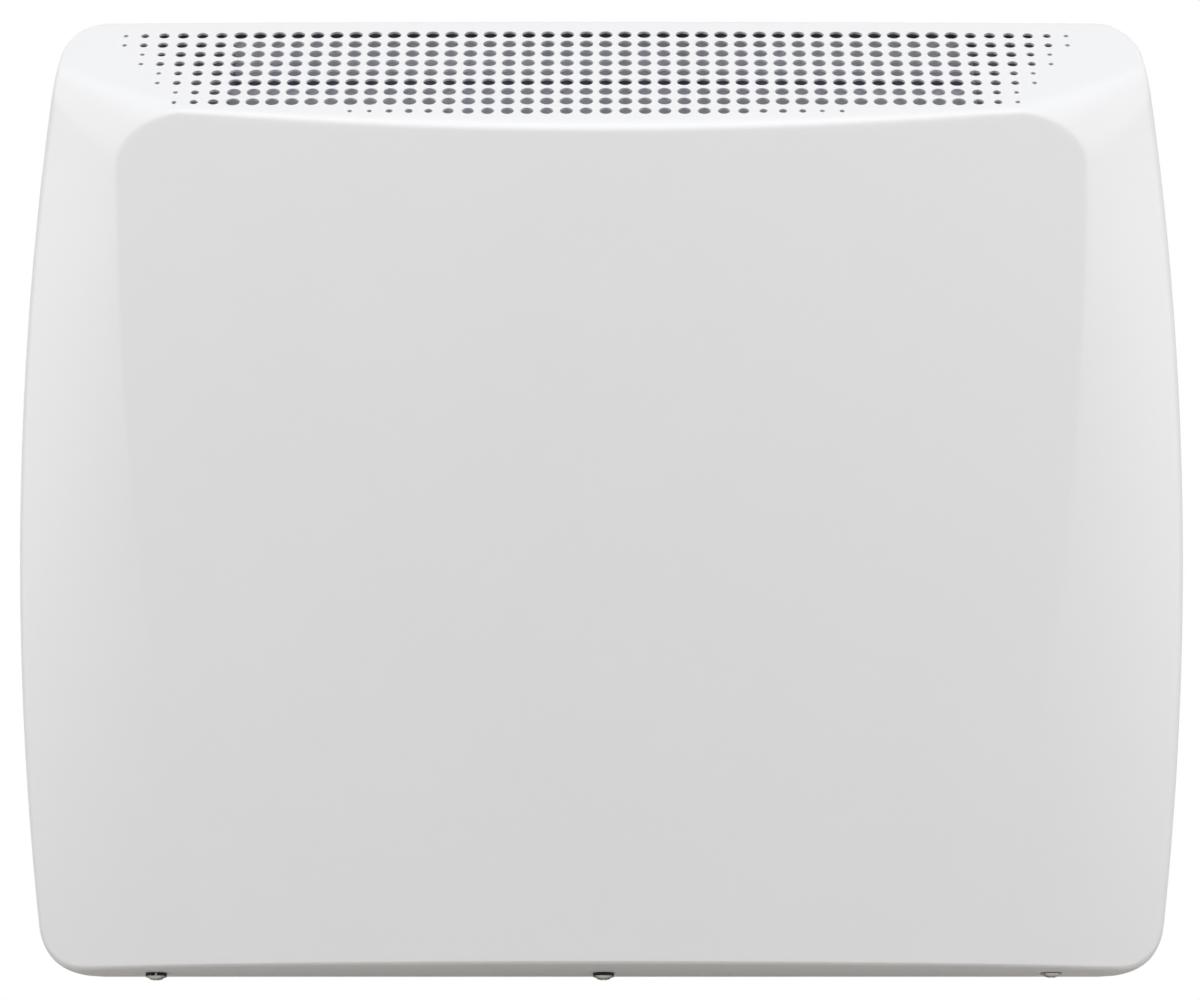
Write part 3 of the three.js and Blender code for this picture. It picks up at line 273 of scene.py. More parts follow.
class HeaterControlSettings(bpy.types.PropertyGroup):
    skirt_radius: length("Skirt radius", "Radius of the knob's skirt", 12.0, 8.0, 14.0)
    grip_radius: length("Grip radius", "Radius of the knob's fluted grip", 10.0, 6.0, 12.0)
    knob_height: length("Knob height", "Height of the knob", 11.2, 6.0, 12.0)
    flutes: bpy.props.IntProperty(
        name="Flutes", description="Flutes round the grip", default=28, min=8, max=60)
    white: colour("White", "Colour of the moulded controls", (0.78, 0.78, 0.76))
    dark: colour("Dark", "Colour of the dark mouldings", (0.024, 0.025, 0.027))


class HeaterMetalSettings(bpy.types.PropertyGroup):
    galvanised: colour("Galvanised", "Colour of the galvanised sheet", (0.60, 0.604, 0.69))
    spangle: length("Spangle", "Size of the zinc crystals", 9.0, 1.0, 40.0)
    aluminium: colour("Aluminium", "Colour of the extruded element", (0.45, 0.46, 0.47))
    edge: length("Edge", "Softened edge of the folded sheets", 0.2, 0.05, 0.6)


class HeaterStageSettings(bpy.types.PropertyGroup):
    camera_distance: length(
        "Camera distance", "From the wall plane to the camera", 2281.5, 500.0, 10000.0)
    lens: bpy.props.FloatProperty(
        name="Lens", description="Focal length on a 36 mm sensor", default=150.42, min=20, max=400,
        unit="CAMERA")
    floor_z: length(
        "Floor level", "Height of the floor below the part's origin", -300.0, -2000.0, 0.0)
    floor: colour("Floor", "Colour of the floor", (0.60, 0.577, 0.548))
    sky: factor("Ambient light", "Strength of the even light from all round", 0.05, 0.0, 3.0)
    overhead: power("Overhead light", "Power of the softbox above", 35.8)
    high: power("High light", "Power of the softbox above and in front", 12.5)
    left: power("Left light", "Power of the softbox on the left", 10.9)
    right: power("Right light", "Power of the softbox on the right", 11.5)


# Meshes

def new_object(name, points, faces):
    """A mesh object at the origin from points in millimetres as (x, depth, z)."""
    data = bpy.data.meshes.new(name)
    corners = [(x * MM, -depth * MM, z * MM) for x, depth, z in points]
    data.from_pydata(corners, [], [tuple(f) for f in faces])
    data.update()
    made = bpy.data.objects.new(name, data)
    bpy.context.scene.collection.objects.link(made)
    return made


def closed_object(name, points, faces):
    """A closed mesh object whose faces all point outwards."""
    made = new_object(name, points, faces)
    work = bmesh.new()
    work.from_mesh(made.data)
    bmesh.ops.recalc_face_normals(work, faces=work.faces)
    work.to_mesh(made.data)
    work.free()
    return made


def evaluated_mesh(source):
    """A new mesh of an object with its modifiers applied."""
    bpy.context.view_layer.update()
    graph = bpy.context.evaluated_depsgraph_get()
    return bpy.data.meshes.new_from_object(source.evaluated_get(graph))


def check_closed(piece):
    """Raises if a piece's mesh has an open edge or no faces."""
    count = {}
    for polygon in piece.data.polygons:
        for key in polygon.edge_keys:
            count[key] = count.get(key, 0) + 1
    open_edges = sum(1 for n in count.values() if n != 2)
    if not count or open_edges:
        raise RuntimeError(f"{piece.name} has {open_edges} open edges of {len(count)}")


def baked(source, name, sharp_degrees, material=None):
    """Replaces an object and its modifiers by one closed, plain and smooth mesh object."""
    data = evaluated_mesh(source)
    data.name = name
    old = source.data
    bpy.data.objects.remove(source)
    if old.users == 0:
        bpy.data.meshes.remove(old)
    made = bpy.data.objects.new(name, data)
    bpy.context.scene.collection.objects.link(made)
    data.shade_smooth()
    data.set_sharp_from_angle(angle=math.radians(sharp_degrees))
    if material:
        data.materials.append(material)
    check_closed(made)
    return made


def cut_out(body, tool):
    """Subtracts a tool object from a body object and removes the tool."""
    boolean = body.modifiers.new("Cut", "BOOLEAN")
    boolean.operation = "DIFFERENCE"
    boolean.solver = "MANIFOLD"
    boolean.object = tool
    data = evaluated_mesh(body)
    body.modifiers.clear()
    body.data = data
    bpy.data.objects.remove(tool)


def soften(piece, width, segments, degrees):
    """Rounds the edges that are sharper than an angle."""
    bevel = piece.modifiers.new("Edge", "BEVEL")
    bevel.width = width * MM
    bevel.segments = segments
    bevel.limit_method = "ANGLE"
    bevel.angle_limit = math.radians(degrees)
    bevel.use_clamp_overlap = True


def circle(count):
    """(cosine, sine) at even steps round a circle."""
    angles = [FULL_TURN * k / count for k in range(count)]
    return [(math.cos(a), math.sin(a)) for a in angles]


def ring_faces(rings, count):
    """Quads between successive rings of count points each."""
    faces = []
    for i in range(rings - 1):
        for j in range(count):
            a, b = i * count + j, i * count + (j + 1) % count
            faces.append((a, b, b + count, a + count))
    return faces


def closing_faces(rings, count):
    """Quads from the last ring back to the first."""
    last = (rings - 1) * count
    return [(last + j, last + (j + 1) % count, (j + 1) % count, j) for j in range(count)]


def end_faces(rings, count):
    """The first ring, turned over, and the last as one face each."""
    return [tuple(range(count - 1, -1, -1)), tuple(range((rings - 1) * count, rings * count))]


def prism_faces(count):
    """Faces of a prism between two rings of count points each, not yet turned outwards."""
    return ring_faces(2, count) + [tuple(range(count)), tuple(range(count, 2 * count))]


def lathe(profile, sides):
    """Points and faces of a (radius, height) profile turned about +Z, closed at both poles."""
    (_, bottom), *inner, (_, top) = profile
    points = [(0.0, 0.0, bottom)]
    points += [(r * c, r * s, height) for r, height in inner for c, s in circle(sides)]
    points.append((0.0, 0.0, top))
    faces = [tuple(v + 1 for v in f) for f in ring_faces(len(inner), sides)]
    last = len(points) - 1
    rim = last - sides
    for k in range(sides):
        n = (k + 1) % sides
        faces += [(0, 1 + n, 1 + k), (last, rim + k, rim + n)]
    return points, faces


def lathe_ring(profile, sides):
    """Points and faces of a closed (radius, height) loop turned about +Z."""
    points = [(r * c, r * s, h) for r, h in profile for c, s in circle(sides)]
    return points, ring_faces(len(profile), sides) + closing_faces(len(profile), sides)


def add_piece(points, faces, more_points, more_faces):
    """Adds a piece to growing lists."""
    start = len(points)
    points.extend(more_points)
    faces.extend(tuple(start + v for v in face) for face in more_faces)


def block_object(name, xs, depths, zs):
    """A box from spans in millimetres."""
    points = [(x, d, z) for z in zs for d in depths for x in xs]
    faces = [(0, 1, 3, 2), (4, 6, 7, 5), (0, 4, 5, 1), (2, 3, 7, 6), (0, 2, 6, 4), (1, 5, 7, 3)]
    return closed_object(name, points, faces)


def rod_object(name, radius, xs, depth, z, sides):
    """A plain rod along x."""
    points = [(x, depth + radius * c, z + radius * s) for x in xs for c, s in circle(sides)]
    return closed_object(name, points, prism_faces(sides))


# Nodes

def add_node(tree, kind, inputs=None, **settings):
    """A node with its settings, its input values and its incoming links."""
    made = tree.nodes.new(kind)
    for key, value in settings.items():
        setattr(made, key, value)
    for key, value in (inputs or {}).items():
        if isinstance(value, bpy.types.NodeSocket):
            tree.links.new(value, made.inputs[key])
        else:
            made.inputs[key].default_value = value
    return made


def node_out(tree, kind, inputs=None, key=0, **settings):
    """One output of a new node."""
    return add_node(tree, kind, inputs, **settings).outputs[key]


def maths(tree, operation, *values):
    return node_out(tree, "ShaderNodeMath", dict(enumerate(values)), operation=operation)


def vector_maths(tree, operation, *values, key="Vector", **named):
    inputs = {**dict(enumerate(values)), **named}
    return node_out(tree, "ShaderNodeVectorMath", inputs, key, operation=operation)


def map_range(tree, value, start, end, low, high, **settings):
    """A value moved from one span to another."""
    spans = {"Value": value, "From Min": start, "From Max": end, "To Min": low, "To Max": high}
    return node_out(tree, "ShaderNodeMapRange", spans, **settings)


def object_place(tree):
    return node_out(tree, "ShaderNodeTexCoord", key="Object")


def new_tree(name, kind, inputs, outputs, output_type="Float"):
    """A node group. inputs are a default or a type for each name, outputs are names."""
    tree = bpy.data.node_groups.new(name, kind)
    for label, value in inputs.items():
        bare = isinstance(value, str)
        named = value if bare else {float: "Float", int: "Int", tuple: "Vector"}[type(value)]
        socket = tree.interface.new_socket(label, in_out="INPUT", socket_type=f"NodeSocket{named}")
        if not bare:
            socket.default_value = value
    for label in outputs:
        tree.interface.new_socket(label, in_out="OUTPUT", socket_type=f"NodeSocket{output_type}")
    return tree, tree.nodes.new("NodeGroupInput").outputs, tree.nodes.new("NodeGroupOutput").inputs


def new_geometry_tree(name, inputs):
    """A tree that takes a geometry, the given inputs and a material, and puts out a geometry."""
    inputs = {"Geometry": "Geometry", **inputs, "Material": "Material"}
    return new_tree(name, "GeometryNodeTree", inputs, ["Geometry"], "Geometry")


def end_geometry_tree(tree, body, material, result):
    """Realises the body, gives it its material and puts it out."""
    real = node_out(tree, "GeometryNodeRealizeInstances", {"Geometry": body})
    tinted = node_out(tree, "GeometryNodeSetMaterial", {"Geometry": real, "Material": material})
    tree.links.new(tinted, result["Geometry"])


def add_geometry_modifier(target, tree, values):
    """Puts a tree on an object and sets its inputs by their identifiers."""
    modifier = target.modifiers.new(tree.name, "NODES")
    modifier.node_group = tree
    sockets = {s.name: s.identifier for s in tree.interface.items_tree if s.in_out == "INPUT"}
    for label, value in values.items():
        modifier[sockets[label]] = value


# Geometry Nodes

def cutter_box(tree, low, high):
    """A box from its corner vectors, moved into place, as a geometry socket."""
    size = vector_maths(tree, "SUBTRACT", high, low)
    middle = vector_maths(tree, "SCALE", vector_maths(tree, "ADD", high, low), Scale=0.5)
    cube = node_out(tree, "GeometryNodeMeshCube", {"Size": size})
    return node_out(tree, "GeometryNodeTransform", {"Geometry": cube, "Translation": middle})


def boolean(tree, operation, body, other):
    """Cuts another piece from a body, or joins the two. A union takes both on its second socket."""
    made = add_node(tree, "GeometryNodeMeshBoolean", operation=operation, solver="MANIFOLD")
    tree.links.new(body, made.inputs["Mesh 2" if operation == "UNION" else "Mesh 1"])
    tree.links.new(other, made.inputs["Mesh 2"])
    return made.outputs["Mesh"]


def punched_tools(tree, points, instance, rotation, radius):
    """Instances of a unit-radius tool on points, scaled by each point's radius and realised."""
    scale = node_out(tree, "ShaderNodeCombineXYZ", {"X": radius, "Y": radius, "Z": 1.0})
    placed = node_out(tree, "GeometryNodeInstanceOnPoints", {
        "Points": points, "Instance": instance, "Rotation": rotation, "Scale": scale})
    return node_out(tree, "GeometryNodeRealizeInstances", {"Geometry": placed})


def cover_openings_tree():
    """Cuts the perforations, screw holes, intake and control opening, and adds the two tabs."""
    tree, source, result = new_geometry_tree("Cover openings", {
        "Holes": "Object", "Screw holes": "Object", "Grille tilt": 0.0, "Underside tilt": 0.0,
        "Sides": 20, "Reach": 0.006, "Edge": 0.0003, "Edge share": 0.1,
        **{f"{label} {end}": "Vector" for label in BOXES for end in ("low", "high")}})
    radius = node_out(
        tree, "GeometryNodeInputNamedAttribute", {"Name": "radius"}, data_type="FLOAT")
    punch = node_out(tree, "GeometryNodeMeshCylinder", {
        "Vertices": source["Sides"], "Radius": 1.0, "Depth": source["Reach"]})
    flare = node_out(tree, "GeometryNodeMeshCone", {
        "Vertices": source["Sides"], "Radius Bottom": 1.0,
        "Radius Top": maths(tree, "MULTIPLY_ADD", source["Edge share"], 2.0, 1.0),
        "Depth": maths(tree, "MULTIPLY", source["Edge"], 2.0)})
    lowered = node_out(
        tree, "ShaderNodeCombineXYZ", {"Z": maths(tree, "MULTIPLY", source["Edge"], -1.0)})
    flare = node_out(tree, "GeometryNodeTransform", {"Geometry": flare, "Translation": lowered})
    body = source["Geometry"]
    for label, tilt in (("Holes", "Grille tilt"), ("Screw holes", "Underside tilt")):
        points = node_out(tree, "GeometryNodeObjectInfo", {"Object": source[label]}, "Geometry")
        angles = node_out(tree, "ShaderNodeCombineXYZ", {"X": source[tilt]})
        turn = node_out(tree, "FunctionNodeEulerToRotation", {"Euler": angles})
        for shape in (punch, flare):
            tools = punched_tools(tree, points, shape, turn, radius)
            body = boolean(tree, "DIFFERENCE", body, tools)
    for label, (operation, _) in BOXES.items():
        box = cutter_box(tree, source[f"{label} low"], source[f"{label} high"])
        body = boolean(tree, operation, body, box)
    end_geometry_tree(tree, body, source["Material"], result)
    return tree


def pieces_on_points_tree():
    """Repeats a piece on the points of another object."""
    tree, source, result = new_geometry_tree(
        "Pieces on points", {"Places": "Object", "Turn": "Vector"})
    points = node_out(tree, "GeometryNodeObjectInfo", {"Object": source["Places"]}, "Geometry")
    turn = node_out(tree, "FunctionNodeEulerToRotation", {"Euler": source["Turn"]})
    placed = node_out(tree, "GeometryNodeInstanceOnPoints", {
        "Points": points, "Instance": source["Geometry"], "Rotation": turn})
    end_geometry_tree(tree, placed, source["Material"], result)
    return tree


# Shader groups

def shader_group(name, inputs, outputs):
    """Makes a function that fills a tree give its shader group, built at the first call."""
    def wrap(fill):
        def group():
            if name not in bpy.data.node_groups:
                tree, given, result = new_tree(name, "ShaderNodeTree", inputs, outputs)
                for label, value in zip(outputs, fill(tree, given)):
                    tree.links.new(value, result[label])
            return bpy.data.node_groups[name]
        return group
    return wrap


@shader_group("Fine grain", {"Scale": 600.0, "Low": 0.98, "High": 1.0}, ("Height", "Tone"))
def fine_grain(tree, given):
    """Fine bumps and a slow drift of tone, as on powder coat and moulded plastic."""
    place = object_place(tree)
    fine = node_out(tree, "ShaderNodeTexNoise", {
        "Vector": place, "Scale": given["Scale"], "Detail": 2.0}, "Fac")
    broad = node_out(tree, "ShaderNodeTexNoise", {
        "Vector": place, "Scale": maths(tree, "MULTIPLY", given["Scale"], 0.03), "Detail": 3.0},
        "Fac")
    return fine, map_range(tree, broad, 0.3, 0.7, given["Low"], given["High"])


@shader_group("Zinc spangle", {"Scale": 110.0, "Low": 0.82}, ("Tone", "Roughness", "Height"))
def spangle(tree, given):
    """The crystals of hot-dip zinc."""
    place = object_place(tree)
    wobble = add_node(tree, "ShaderNodeTexNoise", {"Vector": place, "Scale": 180.0, "Detail": 2.0})
    offset = vector_maths(tree, "SCALE", wobble.outputs["Color"], Scale=0.003)
    cells = node_out(tree, "ShaderNodeTexVoronoi", {
        "Vector": vector_maths(tree, "ADD", place, offset), "Scale": given["Scale"]}, "Color")
    grey = add_node(tree, "ShaderNodeSeparateColor", {"Color": cells}).outputs
    tone = map_range(tree, grey[0], 0.0, 1.0, given["Low"], 1.0)
    return tone, map_range(tree, grey[1], 0.0, 1.0, 0.34, 0.52), wobble.outputs["Fac"]


@shader_group("Drawn lines", {"Stretch": (30.0, 2500.0, 2500.0), "Low": 0.85}, ("Tone", "Height"))
def drawn_lines(tree, given):
    """Fine lines left by drawing, turning or extruding."""
    squeezed = vector_maths(tree, "MULTIPLY", object_place(tree), given["Stretch"])
    lines = node_out(
        tree, "ShaderNodeTexNoise", {"Vector": squeezed, "Scale": 1.0, "Detail": 4.0}, "Fac")
    return map_range(tree, lines, 0.25, 0.75, given["Low"], 1.0), lines


# Materials

def new_material(name, **values):
    """A material whose Principled shader has the given constants, with _ for spaces."""
    made = bpy.data.materials.new(name)
    made.use_nodes = True
    shader = made.node_tree.nodes["Principled BSDF"]
    for key, value in values.items():
        shader.inputs[key.replace("_", " ")].default_value = value
    return made, made.node_tree, shader


def use_group(tree, group, values):
    made = tree.nodes.new("ShaderNodeGroup")
    made.node_tree = group
    for key, value in values.items():
        made.inputs[key].default_value = value
    return made.outputs


def tint(tree, shader, base, tone):
    """Base colour times a tone that varies over the surface."""
    grey = node_out(tree, "ShaderNodeCombineColor", {0: tone, 1: tone, 2: tone})
    mixed = node_out(tree, "ShaderNodeMix", {0: 1.0, 6: (*base, 1.0), 7: grey}, 2,
                     data_type="RGBA", blend_type="MULTIPLY")
    tree.links.new(mixed, shader.inputs["Base Color"])


def textured(name, base, group, values, distance, strength, **constants):
    """A material whose tone, relief and maybe roughness come from a shader group."""
    made, tree, shader = new_material(name, **constants)
    given = use_group(tree, group, values)
    tint(tree, shader, base, given["Tone"])
    relief = node_out(tree, "ShaderNodeBump", {
        "Height": given["Height"], "Distance": distance, "Strength": strength})
    tree.links.new(relief, shader.inputs["Normal"])
    if "Roughness" in given:
        tree.links.new(given["Roughness"], shader.inputs["Roughness"])
    return made


def grained(name, base, roughness, scale, strength, low=0.975):
    """Enamel, moulded plastic, rubber or ceramic: an even colour with a fine texture."""
    return textured(name, base, fine_grain(), {"Scale": scale, "Low": low}, 0.00004, strength,
                    Roughness=roughness)


def drawn_metal(name, base, roughness, stretch, low):
    """Plated, turned or extruded metal."""
    return textured(name, base, drawn_lines(), {"Stretch": stretch, "Low": low}, 0.00003, 0.2,
                    Metallic=0.92, Roughness=roughness)


def galvanised_steel(settings):
    return textured("Galvanised steel", settings.galvanised, spangle(),
                    {"Scale": 1.0 / settings.spangle}, 0.00005, 0.15, Metallic=0.4)


def striped_lead(name, base, stripe):
    """Green insulation with a yellow stripe that winds along it."""
    made, tree, shader = new_material(name, Roughness=0.45)
    bands = node_out(tree, "ShaderNodeTexWave", {
        "Vector": object_place(tree), "Scale": 90.0, "Distortion": 1.5}, "Fac")
    mixed = node_out(tree, "ShaderNodeMix", {
        0: maths(tree, "GREATER_THAN", bands, 0.55), 6: (*base, 1.0), 7: (*stripe, 1.0)}, 2,
        data_type="RGBA")
    tree.links.new(mixed, shader.inputs["Base Color"])
    return made


def white_when(tree, amount, lit, kind):
    """Plain white in place of a lit shader, by an amount."""
    white = node_out(tree, kind, {"Color": WHITE, "Strength": 1.0})
    return node_out(tree, "ShaderNodeMixShader", {0: amount, 1: lit, 2: white})


def floor_material(base):
    """A matt floor that fades to the white of the background towards its edge."""
    made, tree, shader = new_material("Floor", Roughness=0.85, Specular_IOR_Level=0.1)
    grain = use_group(tree, fine_grain(), {"Scale": 40.0, "Low": 0.99})
    tint(tree, shader, base, grain["Tone"])
    away = vector_maths(tree, "ADD", object_place(tree), (0, FLOOR_CENTRE, 0))
    reach = vector_maths(
        tree, "LENGTH", vector_maths(tree, "MULTIPLY", away, (1, 1, 0)), key="Value")
    fade = map_range(tree, reach, 0.45 * FLOOR_RADIUS, 0.98 * FLOOR_RADIUS, 0.0, 1.0,
                     interpolation_type="SMOOTHSTEP")
    path = add_node(tree, "ShaderNodeLightPath").outputs
    seen = maths(tree, "MULTIPLY", fade, path["Is Camera Ray"])
    tree.links.new(white_when(tree, seen, shader.outputs[0], "ShaderNodeEmission"),
                   tree.nodes["Material Output"].inputs["Surface"])
    return made


# The cover's surface, worked out on whole arrays in millimetres

def side_half(z):
    return WIDEST_HALF - (z - WIDEST_Z) ** 2 / (2 * SIDE_ARC_R)


def crease_half(z):
    return CREASE_HALF - CREASE_CURVE * np.maximum(0.0, CREASE_STRAIGHT_Z - z) ** 2


def face_depth(x):
    return FACE_DEPTH - FACE_BOW * x * x


def top_depth(x, z):
    return TOP_RIM_DEPTH + (TOP_Z - z) * TOP_SLOPE - TOP_BOW * x * x


def corner_arc(end_z, radius, tilt_degrees):
    """Centre, radius and touching height of the arc that rounds a corner of the outline."""
    up, tilt = math.copysign(1.0, end_z), math.radians(tilt_degrees)
    z = end_z - up * radius
    touch = z + up * radius * math.sin(tilt)
    return side_half(touch) - radius * math.cos(tilt), z, radius, touch


TOP_ARC = corner_arc(TOP_Z, *TOP_CORNER)
BOTTOM_ARC = corner_arc(BOTTOM_Z, *BOTTOM_CORNER)


def outline_half(z):
    half = side_half(z)
    for x0, z0, radius, touch in (TOP_ARC, BOTTOM_ARC):
        beyond = (z - touch) * math.copysign(1.0, z0) > 0
        arc = x0 + np.sqrt(np.maximum(0.0, radius ** 2 - (z - z0) ** 2))
        half = np.where(beyond, arc, half)
    return half


def rim_distance(x, z, side_rim, top_rim):
    """Distance to the outline, and the rounding radius there."""
    distance = side_half(z) - x
    radius = np.full_like(distance, side_rim)
    for (x0, z0, arc_r, touch), end_rim in ((TOP_ARC, top_rim), (BOTTOM_ARC, BOTTOM_RIM)):
        up = math.copysign(1.0, z0)
        beyond = (z - touch) * up > 0
        away = np.hypot(x - x0, z - z0)
        on_arc = x > x0
        rise = np.where(on_arc, np.clip((z - z0) * up / np.maximum(away, TINY), 0, 1), 1.0)
        in_corner = arc_r - np.where(on_arc, away, (z - z0) * up)
        distance = np.where(beyond, in_corner, distance)
        radius = np.where(beyond, side_rim + (end_rim - side_rim) * rise ** 2, radius)
    return np.maximum(distance, 0.0), radius


def band_depth(x, z):
    """Side band, and its straight continuation inside the crease."""
    outer, inner = side_half(z), crease_half(z)
    rise = face_depth(inner) - SIDE_RIM_DEPTH
    rounding = np.clip((CREASE_STRAIGHT_Z - z) / BAND_ROUND_SPAN, 0, 1)
    start = BAND_START + BAND_START_GAIN * rounding
    u = (outer - x) / (outer - inner)
    curve = SIDE_RIM_DEPTH + rise * (start * u + (1 - start) * u * u)
    straight = face_depth(inner) + (u - 1) * rise * (2 - start)
    return np.where(u > 1, straight, curve)


def joined(one, one_slope, other, other_slope, radius_at, lowest, slack=0.0):
    """The depth under two slopes with an arc between them, by halving."""
    low = np.full_like(one + other, lowest)
    high = np.minimum(one, other)
    for _ in range(HALVINGS):
        middle = (low + high) / 2
        r = radius_at(middle)
        a = np.maximum(0.0, r - (one - middle) / one_slope)
        b = np.maximum(0.0, r - (other - middle) / other_slope)
        inside = np.hypot(a, b) <= r + slack
        low = np.where(inside, middle, low)
        high = np.where(inside, high, middle)
    return low


def cone_depth(x, z):
    """Top slope and side band joined by the rounded corner."""
    inner = crease_half(z)
    rise = face_depth(inner) - SIDE_RIM_DEPTH

    def corner_radius(depth):
        share = np.clip((depth - SIDE_RIM_DEPTH) / rise, 0, 1)
        return RIM_CORNER_R + (CREASE_CORNER_R - RIM_CORNER_R) * share

    band_slope = rise / (side_half(z) - inner)
    return joined(top_depth(x, z), TOP_SLOPE, band_depth(x, z), band_slope, corner_radius,
                  lowest=-10.0, slack=1e-9)


def smooth_step(share):
    share = np.clip(share, 0, 1)
    return share * share * (3 - 2 * share)


def soft_min(a, b, softness):
    blend = np.maximum(softness - np.abs(a - b), 0.0) / np.maximum(softness, TINY)
    return np.minimum(a, b) - blend * blend * softness / 4


def steepness(depth_of, x, z, *rest):
    """How steeply a depth changes across the front."""
    step = SLOPE_STEP
    across = (depth_of(x + step, z, *rest) - depth_of(x - step, z, *rest)) / (2 * step)
    up = (depth_of(x, z + step, *rest) - depth_of(x, z - step, *rest)) / (2 * step)
    return np.hypot(across, up)


def beside_depth(x, z):
    """What borders the face: the bands, and above them the top slope joined to the bands."""
    return np.where(z > BAND_FLAT_Z, cone_depth(x, np.maximum(z, BAND_FLAT_Z)), band_depth(x, z))


def beside_over_face(x, z):
    return beside_depth(x, z) - face_depth(x)


def skin_depth(x, z, settings):
    """The face and what borders it, with the crease between them rounded."""
    side, top = settings.crease_radius / MM, settings.top_crease_radius / MM
    above = np.clip((z - BAND_FLAT_Z) / CREASE_BLEND, 0, 1)
    middle = np.clip(1 - (x / CREASE_HALF) ** 2, 0, 1) * above
    jump = steepness(beside_over_face, x, z)
    softness = (side + (top - side) * middle) * jump ** 2 / (2 * (1 + (jump / 2) ** 2) ** 1.5)
    return soft_min(face_depth(x), beside_depth(x, z), softness)


def under_depth(x, z):
    """The underside, which follows the outline round the lower corners, and how far it has come."""
    x0, z0, radius, touch = BOTTOM_ARC
    away = np.hypot(x - x0, z - z0)
    on_arc = (x > x0) & (z < touch)
    down = np.clip((z0 - z) / np.maximum(away, TINY), 0, 1)
    turned = np.where(on_arc, smooth_step(down / UNDER_TURNED), 1.0)
    share = np.where(on_arc, down ** UNDER_CORNER_POWER, 1.0)
    edge = SIDE_RIM_DEPTH + (UNDER_BACK_DEPTH - SIDE_RIM_DEPTH) * share
    inwards = np.where(on_arc, np.maximum(radius - away, 0.0), z - BOTTOM_Z)
    bend = (UNDER_DROOP + UNDER_DROOP_BOW * x * x) / (FACE_DEPTH - UNDER_BACK_DEPTH) ** 2
    root = np.sqrt(np.maximum(UNDER_SLOPE ** 2 - 4 * bend * inwards, TINY))
    return edge + (UNDER_SLOPE - root) / (2 * bend), turned


def front_depth(x, z, settings):
    """The skin with its rim rounded and its lower front edge turned to the underside."""
    stretch = np.hypot(1, steepness(skin_depth, x, z, settings))
    distance, radius = rim_distance(x, z, settings.side_rim / MM, settings.top_rim / MM)
    inside = np.clip(radius - distance, 0, radius)
    skin = skin_depth(x, z, settings) - stretch * (radius - np.sqrt(radius ** 2 - inside ** 2))
    under, turned = under_depth(x, z)

    def edge_radius(_):
        return settings.lower_radius / MM * turned + LEAST_EDGE

    return joined(skin, stretch, under, math.hypot(1, 1 / UNDER_SLOPE), edge_radius, lowest=0.0)


def cover_rows():
    """Heights of the surface's rows, close together where it bends."""
    rows = [TOP_Z - drop for drop in TOP_RIM_ROWS]
    for start, end, steps in ROW_SPANS:
        rows.extend(np.linspace(start, end, steps, endpoint=False))
    return np.array([*rows, BOTTOM_Z])


def cover_columns(z):
    """x of the surface's columns at each row, from the middle to the outline."""
    half = outline_half(z)
    crease = np.minimum(crease_half(z), half - CREASE_CLEAR)
    marks = np.stack([0 * crease, *(crease + mark for mark in CREASE_MARKS),
                      *(half + mark for mark in OUTLINE_MARKS)], axis=1)
    share = np.concatenate([np.linspace(k, k + 1, steps, endpoint=False)
                            for k, steps in enumerate(COLUMN_STEPS)])[None, :]
    whole = np.floor(share).astype(int).repeat(len(z), axis=0)
    left = np.take_along_axis(marks, whole, axis=1)
    right = np.take_along_axis(marks, whole + 1, axis=1)
    inner = left + (right - left) * (share - np.floor(share))
    return np.concatenate([inner, half[:, None] - np.array(COLUMN_RIM)], axis=1)


def crown_drop(x, z, crown):
    return crown * (x / CROWN_REACH) ** 2 * smooth_step((z - CROWN_FROM_Z) / CROWN_BLEND)


def cover_shell(settings):
    """The pressed skin as one open sheet: the front, and a skirt back towards the wall."""
    rows = cover_rows()
    right = cover_columns(rows)
    depth = front_depth(right, np.repeat(rows[:, None], right.shape[1], axis=1), settings)
    x = np.concatenate([-right[:, :0:-1], right], axis=1)
    depth = np.concatenate([depth[:, :0:-1], depth], axis=1)
    height = np.repeat(rows[:, None], x.shape[1], axis=1)
    points = np.stack([x.ravel(), depth.ravel(), height.ravel()], axis=1)
    index = np.arange(x.size).reshape(x.shape)
    corners = (index[:-1, :-1], index[1:, :-1], index[1:, 1:], index[:-1, 1:])
    faces = np.stack([corner.ravel() for corner in corners], axis=1).tolist()
    loop = np.concatenate([index[0, :], index[1:, -1], index[-1, -2::-1], index[-2:0:-1, 0]])
    rim = points[loop]
    ends = (smooth_step((rim[:, 2] - UPPER_FLARE_Z) / UPPER_FLARE_SPAN)
            + smooth_step((LOWER_FLARE_Z - rim[:, 2]) / LOWER_FLARE_SPAN))
    flare = (BACK_FLARE + END_FLARE * ends) / WIDEST_HALF
    for k in range(1, SKIRT_RINGS + 1):
        ring = rim.copy()
        ring[:, 0] *= 1 + flare * (1 - (1 - k / SKIRT_RINGS) ** SKIRT_EASE)
        ring[:, 1] += (COVER_BACK_DEPTH - rim[:, 1]) * k / SKIRT_RINGS
        after = np.arange(len(points), len(points) + len(loop))
        points = np.concatenate([points, ring])
        sides = np.stack([loop, np.roll(loop, -1), np.roll(after, -1), after], axis=1)
        faces.extend(sides.tolist())
        loop = after
    points[:, 2] -= crown_drop(points[:, 0], points[:, 2], settings.crown / MM)
    return points, faces


# Pieces, each with its operator

def hole_diameter(row, from_end, column, full):
    """Full in the middle of the grille and smaller towards the ends of its rows."""
    if row == len(GRILLE_ROW_STARTS) - 1:
        sizes = HOLE_LAST_ROW_SIZES
    elif min(column, GRILLE_COLUMNS - 1 - column) >= GRILLE_FULL_FROM_COLUMN:
        return full
    else:
        sizes = HOLE_EDGE_SIZES
    return sizes[min(from_end, len(sizes) - 1)]


